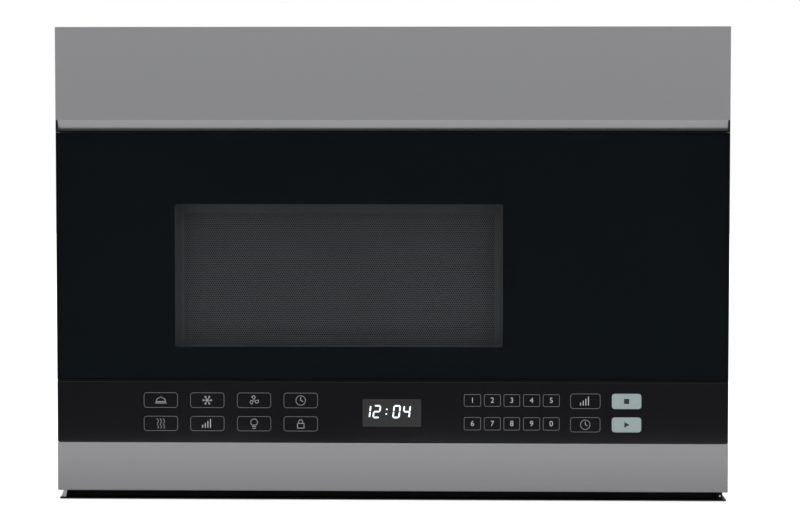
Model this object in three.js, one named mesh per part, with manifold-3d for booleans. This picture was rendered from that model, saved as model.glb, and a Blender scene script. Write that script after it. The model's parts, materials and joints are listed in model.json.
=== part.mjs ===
// Over the range microwave oven, 24 inch wide, with a handleless full width door.
// Millimetres, +Z up. Origin at the middle of the underside. The door faces -Y.
import * as THREE from 'three';
import { mergeVertices } from 'three/addons/utils/BufferGeometryUtils.js';
import Module from 'manifold-3d';

const wasm = await Module();
wasm.setup();

// ---------------------------------------------------------------- driving dimensions

const WIDTH = 606;
const HEIGHT = 427;
const DEPTH = 400;
const SHEET = 1;              // folded steel sheet
const SKIN = 0.8;             // stainless sheet on the front
const SEAT = 0.3;             // gap between two pieces that touch
const REVEAL = 1.5;           // gap round the door that can be seen
const FRONT_DEPTH = 32;       // thickness of the door and of the front mouldings
const DOOR_TO_CASE = 2;       // gap between the closed door and the front plate
const MOULD = 2.4;            // wall of the plastic mouldings

// Front bands, from the underside up.
const LIP_HEIGHT = 7.9;
const LOWER_PANEL_HEIGHT = 44.5;
const KEY_PANEL_HEIGHT = 55.2;
const BEVEL_HEIGHT = 9.5;
const BEVEL_DEPTH = 4;
const FASCIA_HEIGHT = 83.5;

// Oven cavity and its window.
const CAVITY_WIDTH = 404;
const CAVITY_DEPTH = 350;
const CAVITY_FROM_LEFT = 53;  // outer left side to the cavity wall
const DOOR_OVERLAP = 19.8;    // how far the door reaches past the cavity opening, above and below
const WINDOW_WIDTH = 296;
const WINDOW_HEIGHT = 129;
const WINDOW_ABOVE_OPENING = 10;

// Door.
const GLASS = 3.2;
const PIVOT_IN = 11;          // hinge axis, in from the door's left edge
const PIVOT_BACK = 10;        // hinge axis, behind the glass face
const PIN_RADIUS = 3;
const PIN_CLEARANCE = 0.1;
const CHOKE_WIDTH = 16;       // groove round the opening that stops the waves
const CHOKE_DEPTH = 17;
const COMB_PITCH = 44;
const GRIP_LENGTH = 136;
const GRIP_DEPTH = 21;

// Latch.
const LATCH_TRAVEL = 3.5;
const HOOK_HEIGHT = 12;
const HOOK_WIDTH = 6;
const HOOK_SPACING = 110;
const PLUNGER_TRAVEL = 1.5;

// Turntable.
const TRAY_RADIUS = 159;
const ROLLER_RADIUS = 7;
const ROLLER_CIRCLE = 96;     // distance of the rollers from the turntable axis
const SHAFT_RADIUS = 3.5;

// Ventilation.
const WHEEL_RADIUS = 39;
const WHEEL_LENGTH = 70;
const WHEEL_BLADES = 16;
const OUTLET_WIDTH = 254;
const OUTLET_DEPTH = 83;
const FILTER_WIDTH = 194;
const FILTER_DEPTH = 127;
const FILTER_THICKNESS = 2.6;
const FILTER_SLIDE = 8;
const DUCT_HEIGHT = 60;       // space under the chassis plate
const LOUVRE_COUNT = 30;

// ---------------------------------------------------------------- planes that follow from them

const LEFT = -WIDTH / 2;
const RIGHT = WIDTH / 2;
const FRONT = -DEPTH / 2;
const BACK = DEPTH / 2;
const FRONT_REAR = FRONT + FRONT_DEPTH;          // rear of the door and the front mouldings
const CASE_FRONT = FRONT_REAR + DOOR_TO_CASE;    // front of the front plate
const PANEL_BOTTOM = LIP_HEIGHT;
const PANEL_TOP = PANEL_BOTTOM + LOWER_PANEL_HEIGHT;
const KEYS_TOP = PANEL_TOP + KEY_PANEL_HEIGHT;
const FASCIA_BOTTOM = HEIGHT - FASCIA_HEIGHT;
const BEVEL_BOTTOM = FASCIA_BOTTOM - BEVEL_HEIGHT;
const DOOR_BOTTOM = KEYS_TOP + REVEAL;
const DOOR_TOP = BEVEL_BOTTOM - REVEAL;
const MOULD_EDGE = 0.4;                          // mouldings stand this far inside the full width
const CASE_HALF = WIDTH / 2 - 1;

const CAVITY_LEFT = LEFT + CAVITY_FROM_LEFT;
const CAVITY_RIGHT = CAVITY_LEFT + CAVITY_WIDTH;
const CAVITY_MID = (CAVITY_LEFT + CAVITY_RIGHT) / 2;
const CAVITY_FLOOR = DOOR_BOTTOM + DOOR_OVERLAP;
const CAVITY_TOP = DOOR_TOP - DOOR_OVERLAP;
const CAVITY_FRONT = CASE_FRONT + SHEET;
const CAVITY_BACK = CAVITY_FRONT + CAVITY_DEPTH;
const CAVITY_CENTRE_Y = (CAVITY_FRONT + CAVITY_BACK) / 2;

const WINDOW_LEFT = CAVITY_MID - WINDOW_WIDTH / 2;
const WINDOW_RIGHT = CAVITY_MID + WINDOW_WIDTH / 2;
const WINDOW_BOTTOM = CAVITY_FLOOR + WINDOW_ABOVE_OPENING;
const WINDOW_TOP = WINDOW_BOTTOM + WINDOW_HEIGHT;

const PIVOT_X = LEFT + PIVOT_IN;
const PIVOT_Y = FRONT + PIVOT_BACK;

// ---------------------------------------------------------------- materials

function finish(color, roughness, metalness, extra = {}) {
  return new THREE.MeshStandardMaterial({ color, roughness, metalness, ...extra });
}

const stainless = finish('#89898b', 0.42, 0.9);
const blackSteel = finish('#0d0d0f', 0.55, 0.3);
const zincSteel = finish('#a9abaa', 0.4, 0.85);
const ovenEnamel = finish('#c9cac6', 0.45, 0.2);
const aluminium = finish('#b9bbbd', 0.35, 0.9);
const blackPlastic = finish('#0b0b0d', 0.5, 0);
const greyPlastic = finish('#6b6e70', 0.6, 0);
const whitePlastic = finish('#dcdcd6', 0.5, 0);
const doorGlass = finish('#101416', 0.06, 0);
const clearGlass = finish('#cfe0dc', 0.05, 0, { transparent: true, opacity: 0.4 });
const mica = finish('#b9ad93', 0.7, 0);
const board = finish('#2f5a34', 0.6, 0);
const ironCore = finish('#4a4b4d', 0.6, 0.6);
const springSteel = finish('#8d9092', 0.35, 0.9);
const charcoal = finish('#1b1b1c', 0.9, 0);

// ---------------------------------------------------------------- solids

// A closed BufferGeometry becomes a solid that can be joined and cut.
function solid(geometry) {
  geometry.deleteAttribute('normal');
  geometry.deleteAttribute('uv');
  const merged = mergeVertices(geometry, 1e-4);
  const vertProperties = new Float32Array(merged.attributes.position.array);
  const triVerts = new Uint32Array(merged.index.array);
  return new wasm.Manifold(new wasm.Mesh({ numProp: 3, vertProperties, triVerts }));
}

// Block between two corners.
function block(x0, x1, y0, y1, z0, z1) {
  const geometry = new THREE.BoxGeometry(x1 - x0, y1 - y0, z1 - z0);
  geometry.translate((x0 + x1) / 2, (y0 + y1) / 2, (z0 + z1) / 2);
  return solid(geometry);
}

// Round bar along X, Y or Z from one end to the other, at the two other coordinates a and b.
function rod(axis, radius, start, end, a, b, sides = 16, endRadius = radius) {
  const geometry = new THREE.CylinderGeometry(endRadius, radius, end - start, sides);
  const middle = (start + end) / 2;
  if (axis === 'x') {
    geometry.rotateZ(-Math.PI / 2);
    geometry.translate(middle, a, b);
  } else if (axis === 'y') {
    geometry.translate(a, middle, b);
  } else {
    geometry.rotateX(Math.PI / 2);
    geometry.translate(a, b, middle);
  }
  return solid(geometry);
}

// Round piece about the Z axis through (x, y); profile points are [radius, z].
function turned(profile, x, y, sides = 32) {
  const points = profile.map(([radius, z]) => new THREE.Vector2(radius, z));
  const geometry = new THREE.LatheGeometry(points, sides);
  geometry.rotateX(Math.PI / 2);
  geometry.translate(x, y, 0);
  return solid(geometry);
}

// Flat outline pushed along X, Y or Z between two planes. Outline points are [y, z], [x, z] or [x, y].
function pushed(axis, outline, start, end, curveSegments = 2) {
  const shape = outline instanceof THREE.Shape ? outline
    : new THREE.Shape(outline.map(([u, v]) => new THREE.Vector2(u, v)));
  const depth = end - start;
  const geometry = new THREE.ExtrudeGeometry(shape, { depth, bevelEnabled: false, curveSegments });
  if (axis === 'x') {
    geometry.applyMatrix4(new THREE.Matrix4().set(0, 0, 1, start, 1, 0, 0, 0, 0, 1, 0, 0, 0, 0, 0, 1));
  } else if (axis === 'y') {
    geometry.applyMatrix4(new THREE.Matrix4().set(1, 0, 0, 0, 0, 0, -1, end, 0, 1, 0, 0, 0, 0, 0, 1));
  } else {
    geometry.translate(0, 0, start);
  }
  return solid(geometry);
}

// Rectangle with round corners, centred on (u, v).
function roundedRectangle(u, v, width, height, radius) {
  const shape = new THREE.Shape();
  const left = u - width / 2;
  const right = u + width / 2;
  const low = v - height / 2;
  const high = v + height / 2;
  shape.moveTo(left + radius, low);
  shape.lineTo(right - radius, low);
  shape.absarc(right - radius, low + radius, radius, -Math.PI / 2, 0);
  shape.lineTo(right, high - radius);
  shape.absarc(right - radius, high - radius, radius, 0, Math.PI / 2);
  shape.lineTo(left + radius, high);
  shape.absarc(left + radius, high - radius, radius, Math.PI / 2, Math.PI);
  shape.lineTo(left, low + radius);
  shape.absarc(left + radius, low + radius, radius, Math.PI, Math.PI * 1.5);
  return shape;
}

// Joins a list of solids into one.
function join(solids) {
  return solids.reduce((whole, piece) => whole.add(piece));
}

// Cuts a list of solids from one.
function cut(body, cutters) {
  return cutters.length ? body.subtract(join(cutters)) : body;
}

// Rectangular ring between an outer and an inner rectangle in X and Z.
function frameRing(outer, inner, y0, y1) {
  const whole = block(outer.left, outer.right, y0, y1, outer.low, outer.high);
  return whole.subtract(block(inner.left, inner.right, y0 - 1, y1 + 1, inner.low, inner.high));
}

// Rectangle moved in on every side; a negative amount moves it out.
function inset(rectangle, amount) {
  return {
    left: rectangle.left + amount,
    right: rectangle.right - amount,
    low: rectangle.low + amount,
    high: rectangle.high - amount,
  };
}

const microwave = new THREE.Group();

function toMesh(name, body, material) {
  const { vertProperties, triVerts } = body.getMesh();
  const geometry = new THREE.BufferGeometry();
  geometry.setAttribute('position', new THREE.BufferAttribute(new Float32Array(vertProperties), 3));
  geometry.setIndex(new THREE.BufferAttribute(new Uint32Array(triVerts), 1));
  geometry.computeVertexNormals();
  const mesh = new THREE.Mesh(geometry, material);
  mesh.name = name;
  return mesh;
}

// Adds a sub-part to a group, which is the whole microwave unless another is given.
function add(name, body, material, group = microwave) {
  const mesh = toMesh(name, body, material);
  group.add(mesh);
  return mesh;
}

// ---------------------------------------------------------------- case

const BASE_SHEET = 1.2;
const CASE_SKIRT = BASE_SHEET + SEAT;     // case sides end just above the base sheet
const SIDE_FRONT = CASE_FRONT + SHEET + SEAT;
const REAR_SHEET = 1.2;
const SIDE_BACK = BACK - REAR_SHEET - SEAT;
const CASE_INNER = CASE_HALF - SHEET;
const CHASSIS_TOP = DUCT_HEIGHT + SHEET;
const OUTLET_Y = BACK - 98;              // middle of the exhaust outlet
const CORD_X = CASE_HALF - 48;
const CORD_Y = BACK - 48;
const CORD_HOLE_RADIUS = 11;
const CORD_RADIUS = 7;                   // clear hole in the bushing
const TOP_BOLT_X = 150;
const TOP_BOLT_Y = -70;
const TOP_BOLT_RADIUS = 5;
const VENT_ROWS = 6;
const VENT_PITCH = 9;

// Wrap: two sides and the top in one folded sheet, with hems that stiffen its front edges.
function outerCase() {
  const half = CASE_HALF;
  const shell = block(-half, half, SIDE_FRONT, SIDE_BACK, CASE_SKIRT, HEIGHT)
    .subtract(block(-CASE_INNER, CASE_INNER, SIDE_FRONT - 1, SIDE_BACK + 1, CASE_SKIRT - 1, HEIGHT - SHEET));
  const hemDepth = 10;
  const hems = [-1, 1].map((side) => block(
    side < 0 ? -CASE_INNER - 0.5 : CASE_INNER - hemDepth,
    side < 0 ? -CASE_INNER + hemDepth : CASE_INNER + 0.5,
    SIDE_BACK - SHEET, SIDE_BACK, CHASSIS_TOP + 4, HEIGHT - 0.5,
  ));
  const outlet = block(-OUTLET_WIDTH / 2, OUTLET_WIDTH / 2,
    OUTLET_Y - OUTLET_DEPTH / 2, OUTLET_Y + OUTLET_DEPTH / 2, HEIGHT - 5, HEIGHT + 5);
  const cordHole = rod('z', CORD_HOLE_RADIUS, HEIGHT - 5, HEIGHT + 5, CORD_X, CORD_Y, 16);
  const bolts = [-TOP_BOLT_X, TOP_BOLT_X].map((x) => rod('z', TOP_BOLT_RADIUS, HEIGHT - 5,
    HEIGHT + 5, x, TOP_BOLT_Y, 12));
  const sideVents = [];
  for (const side of [-1, 1]) {
    for (let row = 0; row < VENT_ROWS; row += 1) {
      const z = HEIGHT - 60 - row * VENT_PITCH;
      sideVents.push(block(side * half - 3, side * half + 3, SIDE_BACK - 110, SIDE_BACK - 60, z, z + 3));
    }
  }
  return cut(join([shell, ...hems]), [outlet, cordHole, ...bolts, ...sideVents]);
}
add('outer_case', outerCase(), blackSteel);

// Rear sheet with pressed beads and the slots that hang it on hooks.
const HOOK_SLOT_Z = 24;
const HOOK_SLOT_X = [-230, -80, 80, 230];
const HOOK_SLOT_HALF = 16;
function rearPanel() {
  const sheet = block(-CASE_HALF, CASE_HALF, BACK - REAR_SHEET, BACK, CASE_SKIRT, HEIGHT);
  const beadZ = [95, 190, 285];
  const beadHalf = 4;
  const beadDepth = 2;
  const backs = beadZ.map((z) => block(-200, 200, BACK - REAR_SHEET - beadDepth, BACK - 0.5,
    z - beadHalf - SHEET, z + beadHalf + SHEET));
  const beads = beadZ.map((z) => pushed('x', [
    [BACK + 1, z - beadHalf - 1], [BACK - beadDepth, z - 2],
    [BACK - beadDepth, z + 2], [BACK + 1, z + beadHalf + 1],
  ], -199, 199));
  const slots = HOOK_SLOT_X.map((x) => block(x - HOOK_SLOT_HALF, x + HOOK_SLOT_HALF, BACK - 6, BACK + 6,
    HOOK_SLOT_Z - 3, HOOK_SLOT_Z + 3));
  return cut(join([sheet, ...backs]), [...beads, ...slots]);
}
add('rear_panel', rearPanel(), zincSteel);

// Floor of the machine: it closes the air ducts and carries the heavy parts.
const DUCT_SLOT_DEPTH = 150;
function chassisPlate() {
  const plate = block(-CASE_INNER + SEAT, CASE_INNER - SEAT, SIDE_FRONT, SIDE_BACK - SHEET - SEAT - 3,
    DUCT_HEIGHT, CHASSIS_TOP);
  const front = block(-CASE_INNER + SEAT, CASE_INNER - SEAT, SIDE_FRONT, SIDE_FRONT + SHEET,
    DUCT_HEIGHT, DUCT_HEIGHT + 12);
  const slots = [-1, 1].map((side) => {
    const outer = side * (CASE_INNER - 6);
    const inner = side * (CASE_INNER - 34);
    return block(Math.min(outer, inner), Math.max(outer, inner), 0, DUCT_SLOT_DEPTH,
      DUCT_HEIGHT - 5, CHASSIS_TOP + 5);
  });
  return cut(plate.add(front), slots);
}
add('chassis_plate', chassisPlate(), zincSteel);

// Ring in the cord hole at the top. The cord itself is not part of this object.
function cordBushing() {
  const radius = CORD_HOLE_RADIUS - SEAT;
  return turned([
    [CORD_RADIUS, HEIGHT - 8], [radius + 3, HEIGHT - 8], [radius + 3, HEIGHT - SHEET - SEAT],
    [radius, HEIGHT - SHEET - SEAT], [radius, HEIGHT - 0.2], [CORD_RADIUS + 1, HEIGHT - 0.2],
    [CORD_RADIUS, HEIGHT - 1.2], [CORD_RADIUS, HEIGHT - 8],
  ], CORD_X, CORD_Y, 16);
}
add('cord_bushing', cordBushing(), blackPlastic);

// ---------------------------------------------------------------- front plate and oven cavity

const LATCH_X = RIGHT - 40;
const DOOR_MIDDLE = (DOOR_BOTTOM + DOOR_TOP) / 2;
const HOOK_Z = [DOOR_MIDDLE - HOOK_SPACING / 2, DOOR_MIDDLE + HOOK_SPACING / 2];
const HOOK_SLOT_MARGIN = 1.6;
const opening = { left: CAVITY_LEFT, right: CAVITY_RIGHT, low: CAVITY_FLOOR, high: CAVITY_TOP };

function hookSlot(z, y0, y1, margin) {
  return block(LATCH_X - HOOK_WIDTH / 2 - margin, LATCH_X + HOOK_WIDTH / 2 + margin, y0, y1,
    z - HOOK_HEIGHT / 2 - margin, z + HOOK_HEIGHT / 2 + LATCH_TRAVEL + margin);
}

function frontPlate() {
  const plate = block(-CASE_HALF, CASE_HALF, CASE_FRONT, CASE_FRONT + SHEET, DUCT_HEIGHT, BEVEL_BOTTOM + 40);
  const hole = block(opening.left, opening.right, CASE_FRONT - 2, CASE_FRONT + 4, opening.low, opening.high);
  const slots = HOOK_Z.map((z) => hookSlot(z, CASE_FRONT - 2, CASE_FRONT + 4, HOOK_SLOT_MARGIN));
  const loomHole = rod('y', 12, CASE_FRONT - 2, CASE_FRONT + 4, RIGHT - 80, PANEL_TOP + 34, 20);
  return cut(plate, [hole, ...slots, loomHole]);
}
add('front_plate', frontPlate(), ovenEnamel);

// Welded box, open at the front, with a pressed dish in the floor where the rollers run.
const TRACK_DEPTH = 2;
const TRACK_RADIUS = ROLLER_CIRCLE + 14;
const FLOOR = CAVITY_FLOOR + TRACK_DEPTH;         // raised part of the floor
const TRACK = CAVITY_FLOOR;                       // bottom of the dish
const PORT_Y = CAVITY_CENTRE_Y + 10;
const PORT_Z = (CAVITY_FLOOR + CAVITY_TOP) / 2 + 26;
const PORT_WIDTH = 84;
const PORT_HEIGHT = 40;
const LAMP_Y = CAVITY_BACK - 70;
const LAMP_Z = CAVITY_TOP - 40;
function ovenCavity() {
  const gap = SEAT;
  const y0 = CAVITY_FRONT + gap;
  const shell = block(opening.left - SHEET, opening.right + SHEET, y0, CAVITY_BACK + SHEET,
    opening.low - SHEET, opening.high + SHEET)
    .subtract(block(opening.left, opening.right, y0 - 1, CAVITY_BACK, FLOOR, opening.high));
  const dish = turned([[0, TRACK], [TRACK_RADIUS - 3, TRACK], [TRACK_RADIUS, FLOOR + 0.5], [0, FLOOR + 0.5]],
    CAVITY_MID, CAVITY_CENTRE_Y, 32);
  const shaftHole = rod('z', SHAFT_RADIUS + 4, CAVITY_FLOOR - 5, FLOOR + 5, CAVITY_MID, CAVITY_CENTRE_Y, 20);
  const port = block(opening.right - 2, opening.right + 4, PORT_Y - PORT_WIDTH / 2, PORT_Y + PORT_WIDTH / 2,
    PORT_Z - PORT_HEIGHT / 2, PORT_Z + PORT_HEIGHT / 2);
  const lampHoles = [];
  for (const [across, up] of [[-6, -4], [0, -4], [6, -4], [-6, 4], [0, 4], [6, 4]]) {
    lampHoles.push(rod('x', 1.8, opening.right - 2, opening.right + 4, LAMP_Y + across, LAMP_Z + up, 6));
  }
  const ventHoles = [];
  for (let column = 0; column < 9; column += 1) {
    ventHoles.push(block(opening.left - 4, opening.left + 2, CAVITY_FRONT + 60 + column * 10,
      CAVITY_FRONT + 64 + column * 10, opening.high - 46, opening.high - 22));
  }
  return cut(shell, [dish, shaftHole, port, ...lampHoles, ...ventHoles]);
}
add('oven_cavity', ovenCavity(), ovenEnamel);

// Thin sheet over the wave port, inside the oven.
add('waveguide_cover', block(opening.right - SEAT - 0.8, opening.right - SEAT,
  PORT_Y - PORT_WIDTH / 2 - 8, PORT_Y + PORT_WIDTH / 2 + 8,
  PORT_Z - PORT_HEIGHT / 2 - 8, PORT_Z + PORT_HEIGHT / 2 + 8), mica);

// Sheet duct from the magnetron to the port: a box open towards the oven, with a flange round the mouth.
const GUIDE_DEPTH = 34;
const guideLeft = opening.right + SHEET + SEAT;
function waveguide() {
  const rim = 10;
  const flange = block(guideLeft, guideLeft + SHEET, PORT_Y - PORT_WIDTH / 2 - rim,
    PORT_Y + PORT_WIDTH / 2 + rim, PORT_Z - PORT_HEIGHT / 2 - rim, PORT_Z + PORT_HEIGHT / 2 + rim);
  const box = block(guideLeft, guideLeft + GUIDE_DEPTH, PORT_Y - PORT_WIDTH / 2 - SHEET,
    PORT_Y + PORT_WIDTH / 2 + SHEET, PORT_Z - PORT_HEIGHT / 2 - SHEET, PORT_Z + PORT_HEIGHT / 2 + SHEET);
  const hollow = block(guideLeft - 1, guideLeft + GUIDE_DEPTH - SHEET, PORT_Y - PORT_WIDTH / 2,
    PORT_Y + PORT_WIDTH / 2, PORT_Z - PORT_HEIGHT / 2, PORT_Z + PORT_HEIGHT / 2);
  const guideEnd = guideLeft + GUIDE_DEPTH;
  const antennaHole = rod('x', 10, guideEnd - 5, guideEnd + 5, PORT_Y, PORT_Z, 20);
  return cut(flange.add(box), [hollow, antennaHole]);
}
add('waveguide', waveguide(), zincSteel);

// ---------------------------------------------------------------- turntable

const rollerTop = TRACK + 2 * ROLLER_RADIUS + 2 * SEAT;   // underside of the tray's rolling track
const TRAY_GLASS = 4;
const TRAY_RIM = 8;
function turntableTray() {
  const rim = rollerTop + TRAY_RIM;
  return turned([
    [0, rollerTop], [TRAY_RADIUS - 16, rollerTop], [TRAY_RADIUS - 6, rollerTop + 1.5],
    [TRAY_RADIUS, rim - 1], [TRAY_RADIUS - 0.5, rim], [TRAY_RADIUS - 3, rim],
    [TRAY_RADIUS - 8, rollerTop + TRAY_GLASS + 1.5], [TRAY_RADIUS - 17, rollerTop + TRAY_GLASS],
    [0, rollerTop + TRAY_GLASS],
  ], CAVITY_MID, CAVITY_CENTRE_Y, 32);
}
const MOTOR_TOP = CAVITY_FLOOR - SHEET - SEAT;
const MOTOR_HEIGHT = 16;
const MOTOR_RADIUS = 24.5;
const MOTOR_WELL = 4;                    // depth of the well that the drive shaft stands in
const SPINDLE_RADIUS = 1.5;
const SPINDLE_LENGTH = 4.5;              // how far the motor's spindle rises into the drive shaft
const couplerTop = rollerTop - SEAT;
const couplerBottom = FLOOR + 2;
// Three lobes that drive the tray from below, on the shaft that the motor turns.
function turntableCoupler() {
  const hub = rod('z', 11, couplerBottom, couplerTop - 3, CAVITY_MID, CAVITY_CENTRE_Y, 16);
  const lobes = [0, 1, 2].map((index) => {
    const angle = (index * 2 * Math.PI) / 3;
    return rod('z', 6.5, couplerTop - 7, couplerTop, CAVITY_MID + 9 * Math.cos(angle),
      CAVITY_CENTRE_Y + 9 * Math.sin(angle), 10);
  });
  const shaft = rod('z', SHAFT_RADIUS, MOTOR_TOP - MOTOR_WELL + 1, couplerBottom + 1,
    CAVITY_MID, CAVITY_CENTRE_Y, 12);
  const socket = rod('z', SPINDLE_RADIUS + 0.2, MOTOR_TOP - MOTOR_WELL, MOTOR_TOP + SPINDLE_LENGTH + SEAT,
    CAVITY_MID, CAVITY_CENTRE_Y, 12);
  return cut(join([hub, shaft, ...lobes]), [socket]);
}
add('turntable_tray', turntableTray(), clearGlass);
add('turntable_coupler', turntableCoupler(), whitePlastic);

function turntableMotor() {
  const can = rod('z', MOTOR_RADIUS, MOTOR_TOP - MOTOR_HEIGHT, MOTOR_TOP, CAVITY_MID, CAVITY_CENTRE_Y, 32);
  const ears = block(CAVITY_MID - MOTOR_RADIUS - 9, CAVITY_MID + MOTOR_RADIUS + 9, CAVITY_CENTRE_Y - 5,
    CAVITY_CENTRE_Y + 5, MOTOR_TOP - 1.2, MOTOR_TOP);
  const terminals = block(CAVITY_MID - 9, CAVITY_MID + 9, CAVITY_CENTRE_Y + MOTOR_RADIUS - 3,
    CAVITY_CENTRE_Y + MOTOR_RADIUS + 6, MOTOR_TOP - 12, MOTOR_TOP - 3);
  const well = rod('z', SHAFT_RADIUS + 0.4, MOTOR_TOP - MOTOR_WELL, MOTOR_TOP + 1,
    CAVITY_MID, CAVITY_CENTRE_Y, 16);
  const spindle = rod('z', SPINDLE_RADIUS, MOTOR_TOP - MOTOR_WELL - 1, MOTOR_TOP + SPINDLE_LENGTH, CAVITY_MID,
    CAVITY_CENTRE_Y, 12);
  return cut(join([can, ears, terminals]), [well]).add(spindle);
}
add('turntable_motor', turntableMotor(), zincSteel);

// Ring with three stub axles; a roller turns on each and carries the tray round the track.
const rollerZ = TRACK + SEAT + ROLLER_RADIUS;
const RING_RADIUS = ROLLER_CIRCLE - 14;
const AXLE_RADIUS = 2;
const ROLLER_WIDTH = 8;
const rollerAngles = [0, 1, 2].map((index) => Math.PI / 2 + (index * 2 * Math.PI) / 3);
const turntableGroup = new THREE.Group();
turntableGroup.position.set(CAVITY_MID, CAVITY_CENTRE_Y, 0);
microwave.add(turntableGroup);
function rollerRing() {
  const band = turned([
    [RING_RADIUS - 4, rollerZ - 2.5], [RING_RADIUS, rollerZ - 2.5], [RING_RADIUS, rollerZ + 2.5],
    [RING_RADIUS - 4, rollerZ + 2.5], [RING_RADIUS - 4, rollerZ - 2.5],
  ], 0, 0, 36);
  const axles = rollerAngles.map((angle) => {
    const length = ROLLER_CIRCLE + ROLLER_WIDTH / 2 + 3 - (RING_RADIUS - 2);
    const geometry = new THREE.CylinderGeometry(AXLE_RADIUS, AXLE_RADIUS, length, 8);
    geometry.rotateZ(-Math.PI / 2);
    geometry.translate(RING_RADIUS - 2 + length / 2, 0, rollerZ);
    geometry.rotateZ(angle);
    return solid(geometry);
  });
  return join([band, ...axles]);
}
add('roller_ring', rollerRing(), whitePlastic, turntableGroup);
function roller() {
  const bore = AXLE_RADIUS + 0.15;
  const half = ROLLER_WIDTH / 2;
  return turned([
    [bore, -half], [ROLLER_RADIUS - 1, -half], [ROLLER_RADIUS, -half + 1],
    [ROLLER_RADIUS, half - 1], [ROLLER_RADIUS - 1, half], [bore, half], [bore, -half],
  ], 0, 0, 16);
}
rollerAngles.forEach((angle, index) => {
  const wheel = add(`roller_${index + 1}`, roller(), whitePlastic, turntableGroup);
  wheel.position.set(ROLLER_CIRCLE * Math.cos(angle), ROLLER_CIRCLE * Math.sin(angle), rollerZ);
  wheel.rotation.set(0, Math.PI / 2, angle, 'ZYX');
});

// ---------------------------------------------------------------- door

const doorEdge = { left: LEFT, right: RIGHT, low: DOOR_BOTTOM, high: DOOR_TOP };
const frameEdge = inset(doorEdge, MOULD_EDGE);
const WEB_FRONT = FRONT + GLASS + SEAT;              // front wall of the door frame
const WEB_BACK = WEB_FRONT + MOULD;
const COVER = 2.2;
const COVER_FRONT = FRONT_REAR - COVER;
const PAN_BACK = COVER_FRONT - SEAT;
const PAN_FRONT = PAN_BACK - CHOKE_DEPTH;
const INNER_SHEET = 1.7;
const PLATE_BACK = PAN_BACK - INNER_SHEET - SEAT;
const panInner = inset(opening, 2);
const panOuter = inset(opening, -CHOKE_WIDTH);
const windowEdge = { left: WINDOW_LEFT, right: WINDOW_RIGHT, low: WINDOW_BOTTOM, high: WINDOW_TOP };
const BOSS_RADIUS = 9;
const BOSS_LENGTH = 15;

const doorGroup = new THREE.Group();
microwave.add(doorGroup);

function plateInXZ({ left, right, low, high }, y0, y1, cornerRadius) {
  const middle = [(left + right) / 2, (low + high) / 2];
  return pushed('y', roundedRectangle(...middle, right - left, high - low, cornerRadius), y0, y1);
}

add('door_glass', plateInXZ(doorEdge, FRONT, FRONT + GLASS, 2), doorGlass, doorGroup);

// Moulded frame: front wall with the window, four side walls, hinge bosses, latch rails and the finger grip.
const GRIP_Z = DOOR_MIDDLE;
const GRIP_FRONT = WEB_BACK + 1;
const GRIP_BACK = COVER_FRONT - SEAT - MOULD;
const LEVER_HALF = 4;
const LEVER_FRONT = WEB_BACK + 4;
const LEVER_BACK = LEVER_FRONT + 8;
const LEVER_TOP = HOOK_Z[1] + 16;
const SPRING_LENGTH = 18;
const SPRING_TOP = LEVER_TOP + SEAT + SPRING_LENGTH;
function doorFrame() {
  const shell = plateInXZ(frameEdge, WEB_FRONT, FRONT_REAR, 2)
    .subtract(block(frameEdge.left + MOULD, frameEdge.right - MOULD, WEB_BACK, FRONT_REAR + 1,
      frameEdge.low + MOULD, frameEdge.high - MOULD));
  const bosses = [frameEdge.low, frameEdge.high - BOSS_LENGTH].map((z) => block(
    frameEdge.left + 1, PIVOT_X + BOSS_RADIUS, WEB_BACK - 1, COVER_FRONT - SEAT, z, z + BOSS_LENGTH,
  ));
  const rails = [-1, 1].map((side) => {
    const inner = LATCH_X + side * (LEVER_HALF + 0.6);
    const outer = inner + side * 3;
    return block(Math.min(inner, outer), Math.max(inner, outer), WEB_BACK - 1, LEVER_BACK + 2,
      HOOK_Z[0] + 16, HOOK_Z[1] - 16);
  });
  const springSeat = block(LATCH_X - 8, LATCH_X + 8, WEB_BACK - 1, LEVER_BACK + 3, SPRING_TOP + SEAT,
    SPRING_TOP + SEAT + 3);
  const gripWall = block(RIGHT - GRIP_DEPTH - MOULD, frameEdge.right - 1, WEB_BACK - 1, GRIP_BACK + MOULD,
    GRIP_Z - GRIP_LENGTH / 2 - MOULD, GRIP_Z + GRIP_LENGTH / 2 + MOULD);
  const gripHollow = pushed('z', [
    [RIGHT + 1, GRIP_FRONT], [RIGHT + 1, GRIP_BACK], [RIGHT - GRIP_DEPTH + 4, GRIP_BACK],
    [RIGHT - GRIP_DEPTH, GRIP_BACK - 5], [RIGHT - GRIP_DEPTH, GRIP_FRONT + 4],
    [RIGHT - GRIP_DEPTH + 4, GRIP_FRONT],
  ], GRIP_Z - GRIP_LENGTH / 2, GRIP_Z + GRIP_LENGTH / 2);
  const windowHole = plateInXZ(inset(windowEdge, -3), WEB_FRONT - 1, WEB_BACK + 1, 3);
  const bores = [
    [DOOR_BOTTOM - 1, DOOR_BOTTOM + BOSS_LENGTH - MOULD],
    [DOOR_TOP - BOSS_LENGTH + MOULD, DOOR_TOP + 1],
  ].map(([z0, z1]) => rod('z', PIN_RADIUS + PIN_CLEARANCE, z0, z1, PIVOT_X, PIVOT_Y, 24));
  const cornerCut = pushed('z', [
    [LEFT - 1, FRONT_REAR - 9.3], [LEFT + 7, FRONT_REAR + 1], [LEFT - 1, FRONT_REAR + 1],
  ], DOOR_BOTTOM - 1, DOOR_TOP + 1);
  return cut(join([shell, ...bosses, ...rails, springSeat, gripWall]),
    [gripHollow, windowHole, ...bores, cornerCut]);
}
add('door_frame', doorFrame(), blackPlastic, doorGroup);

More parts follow.
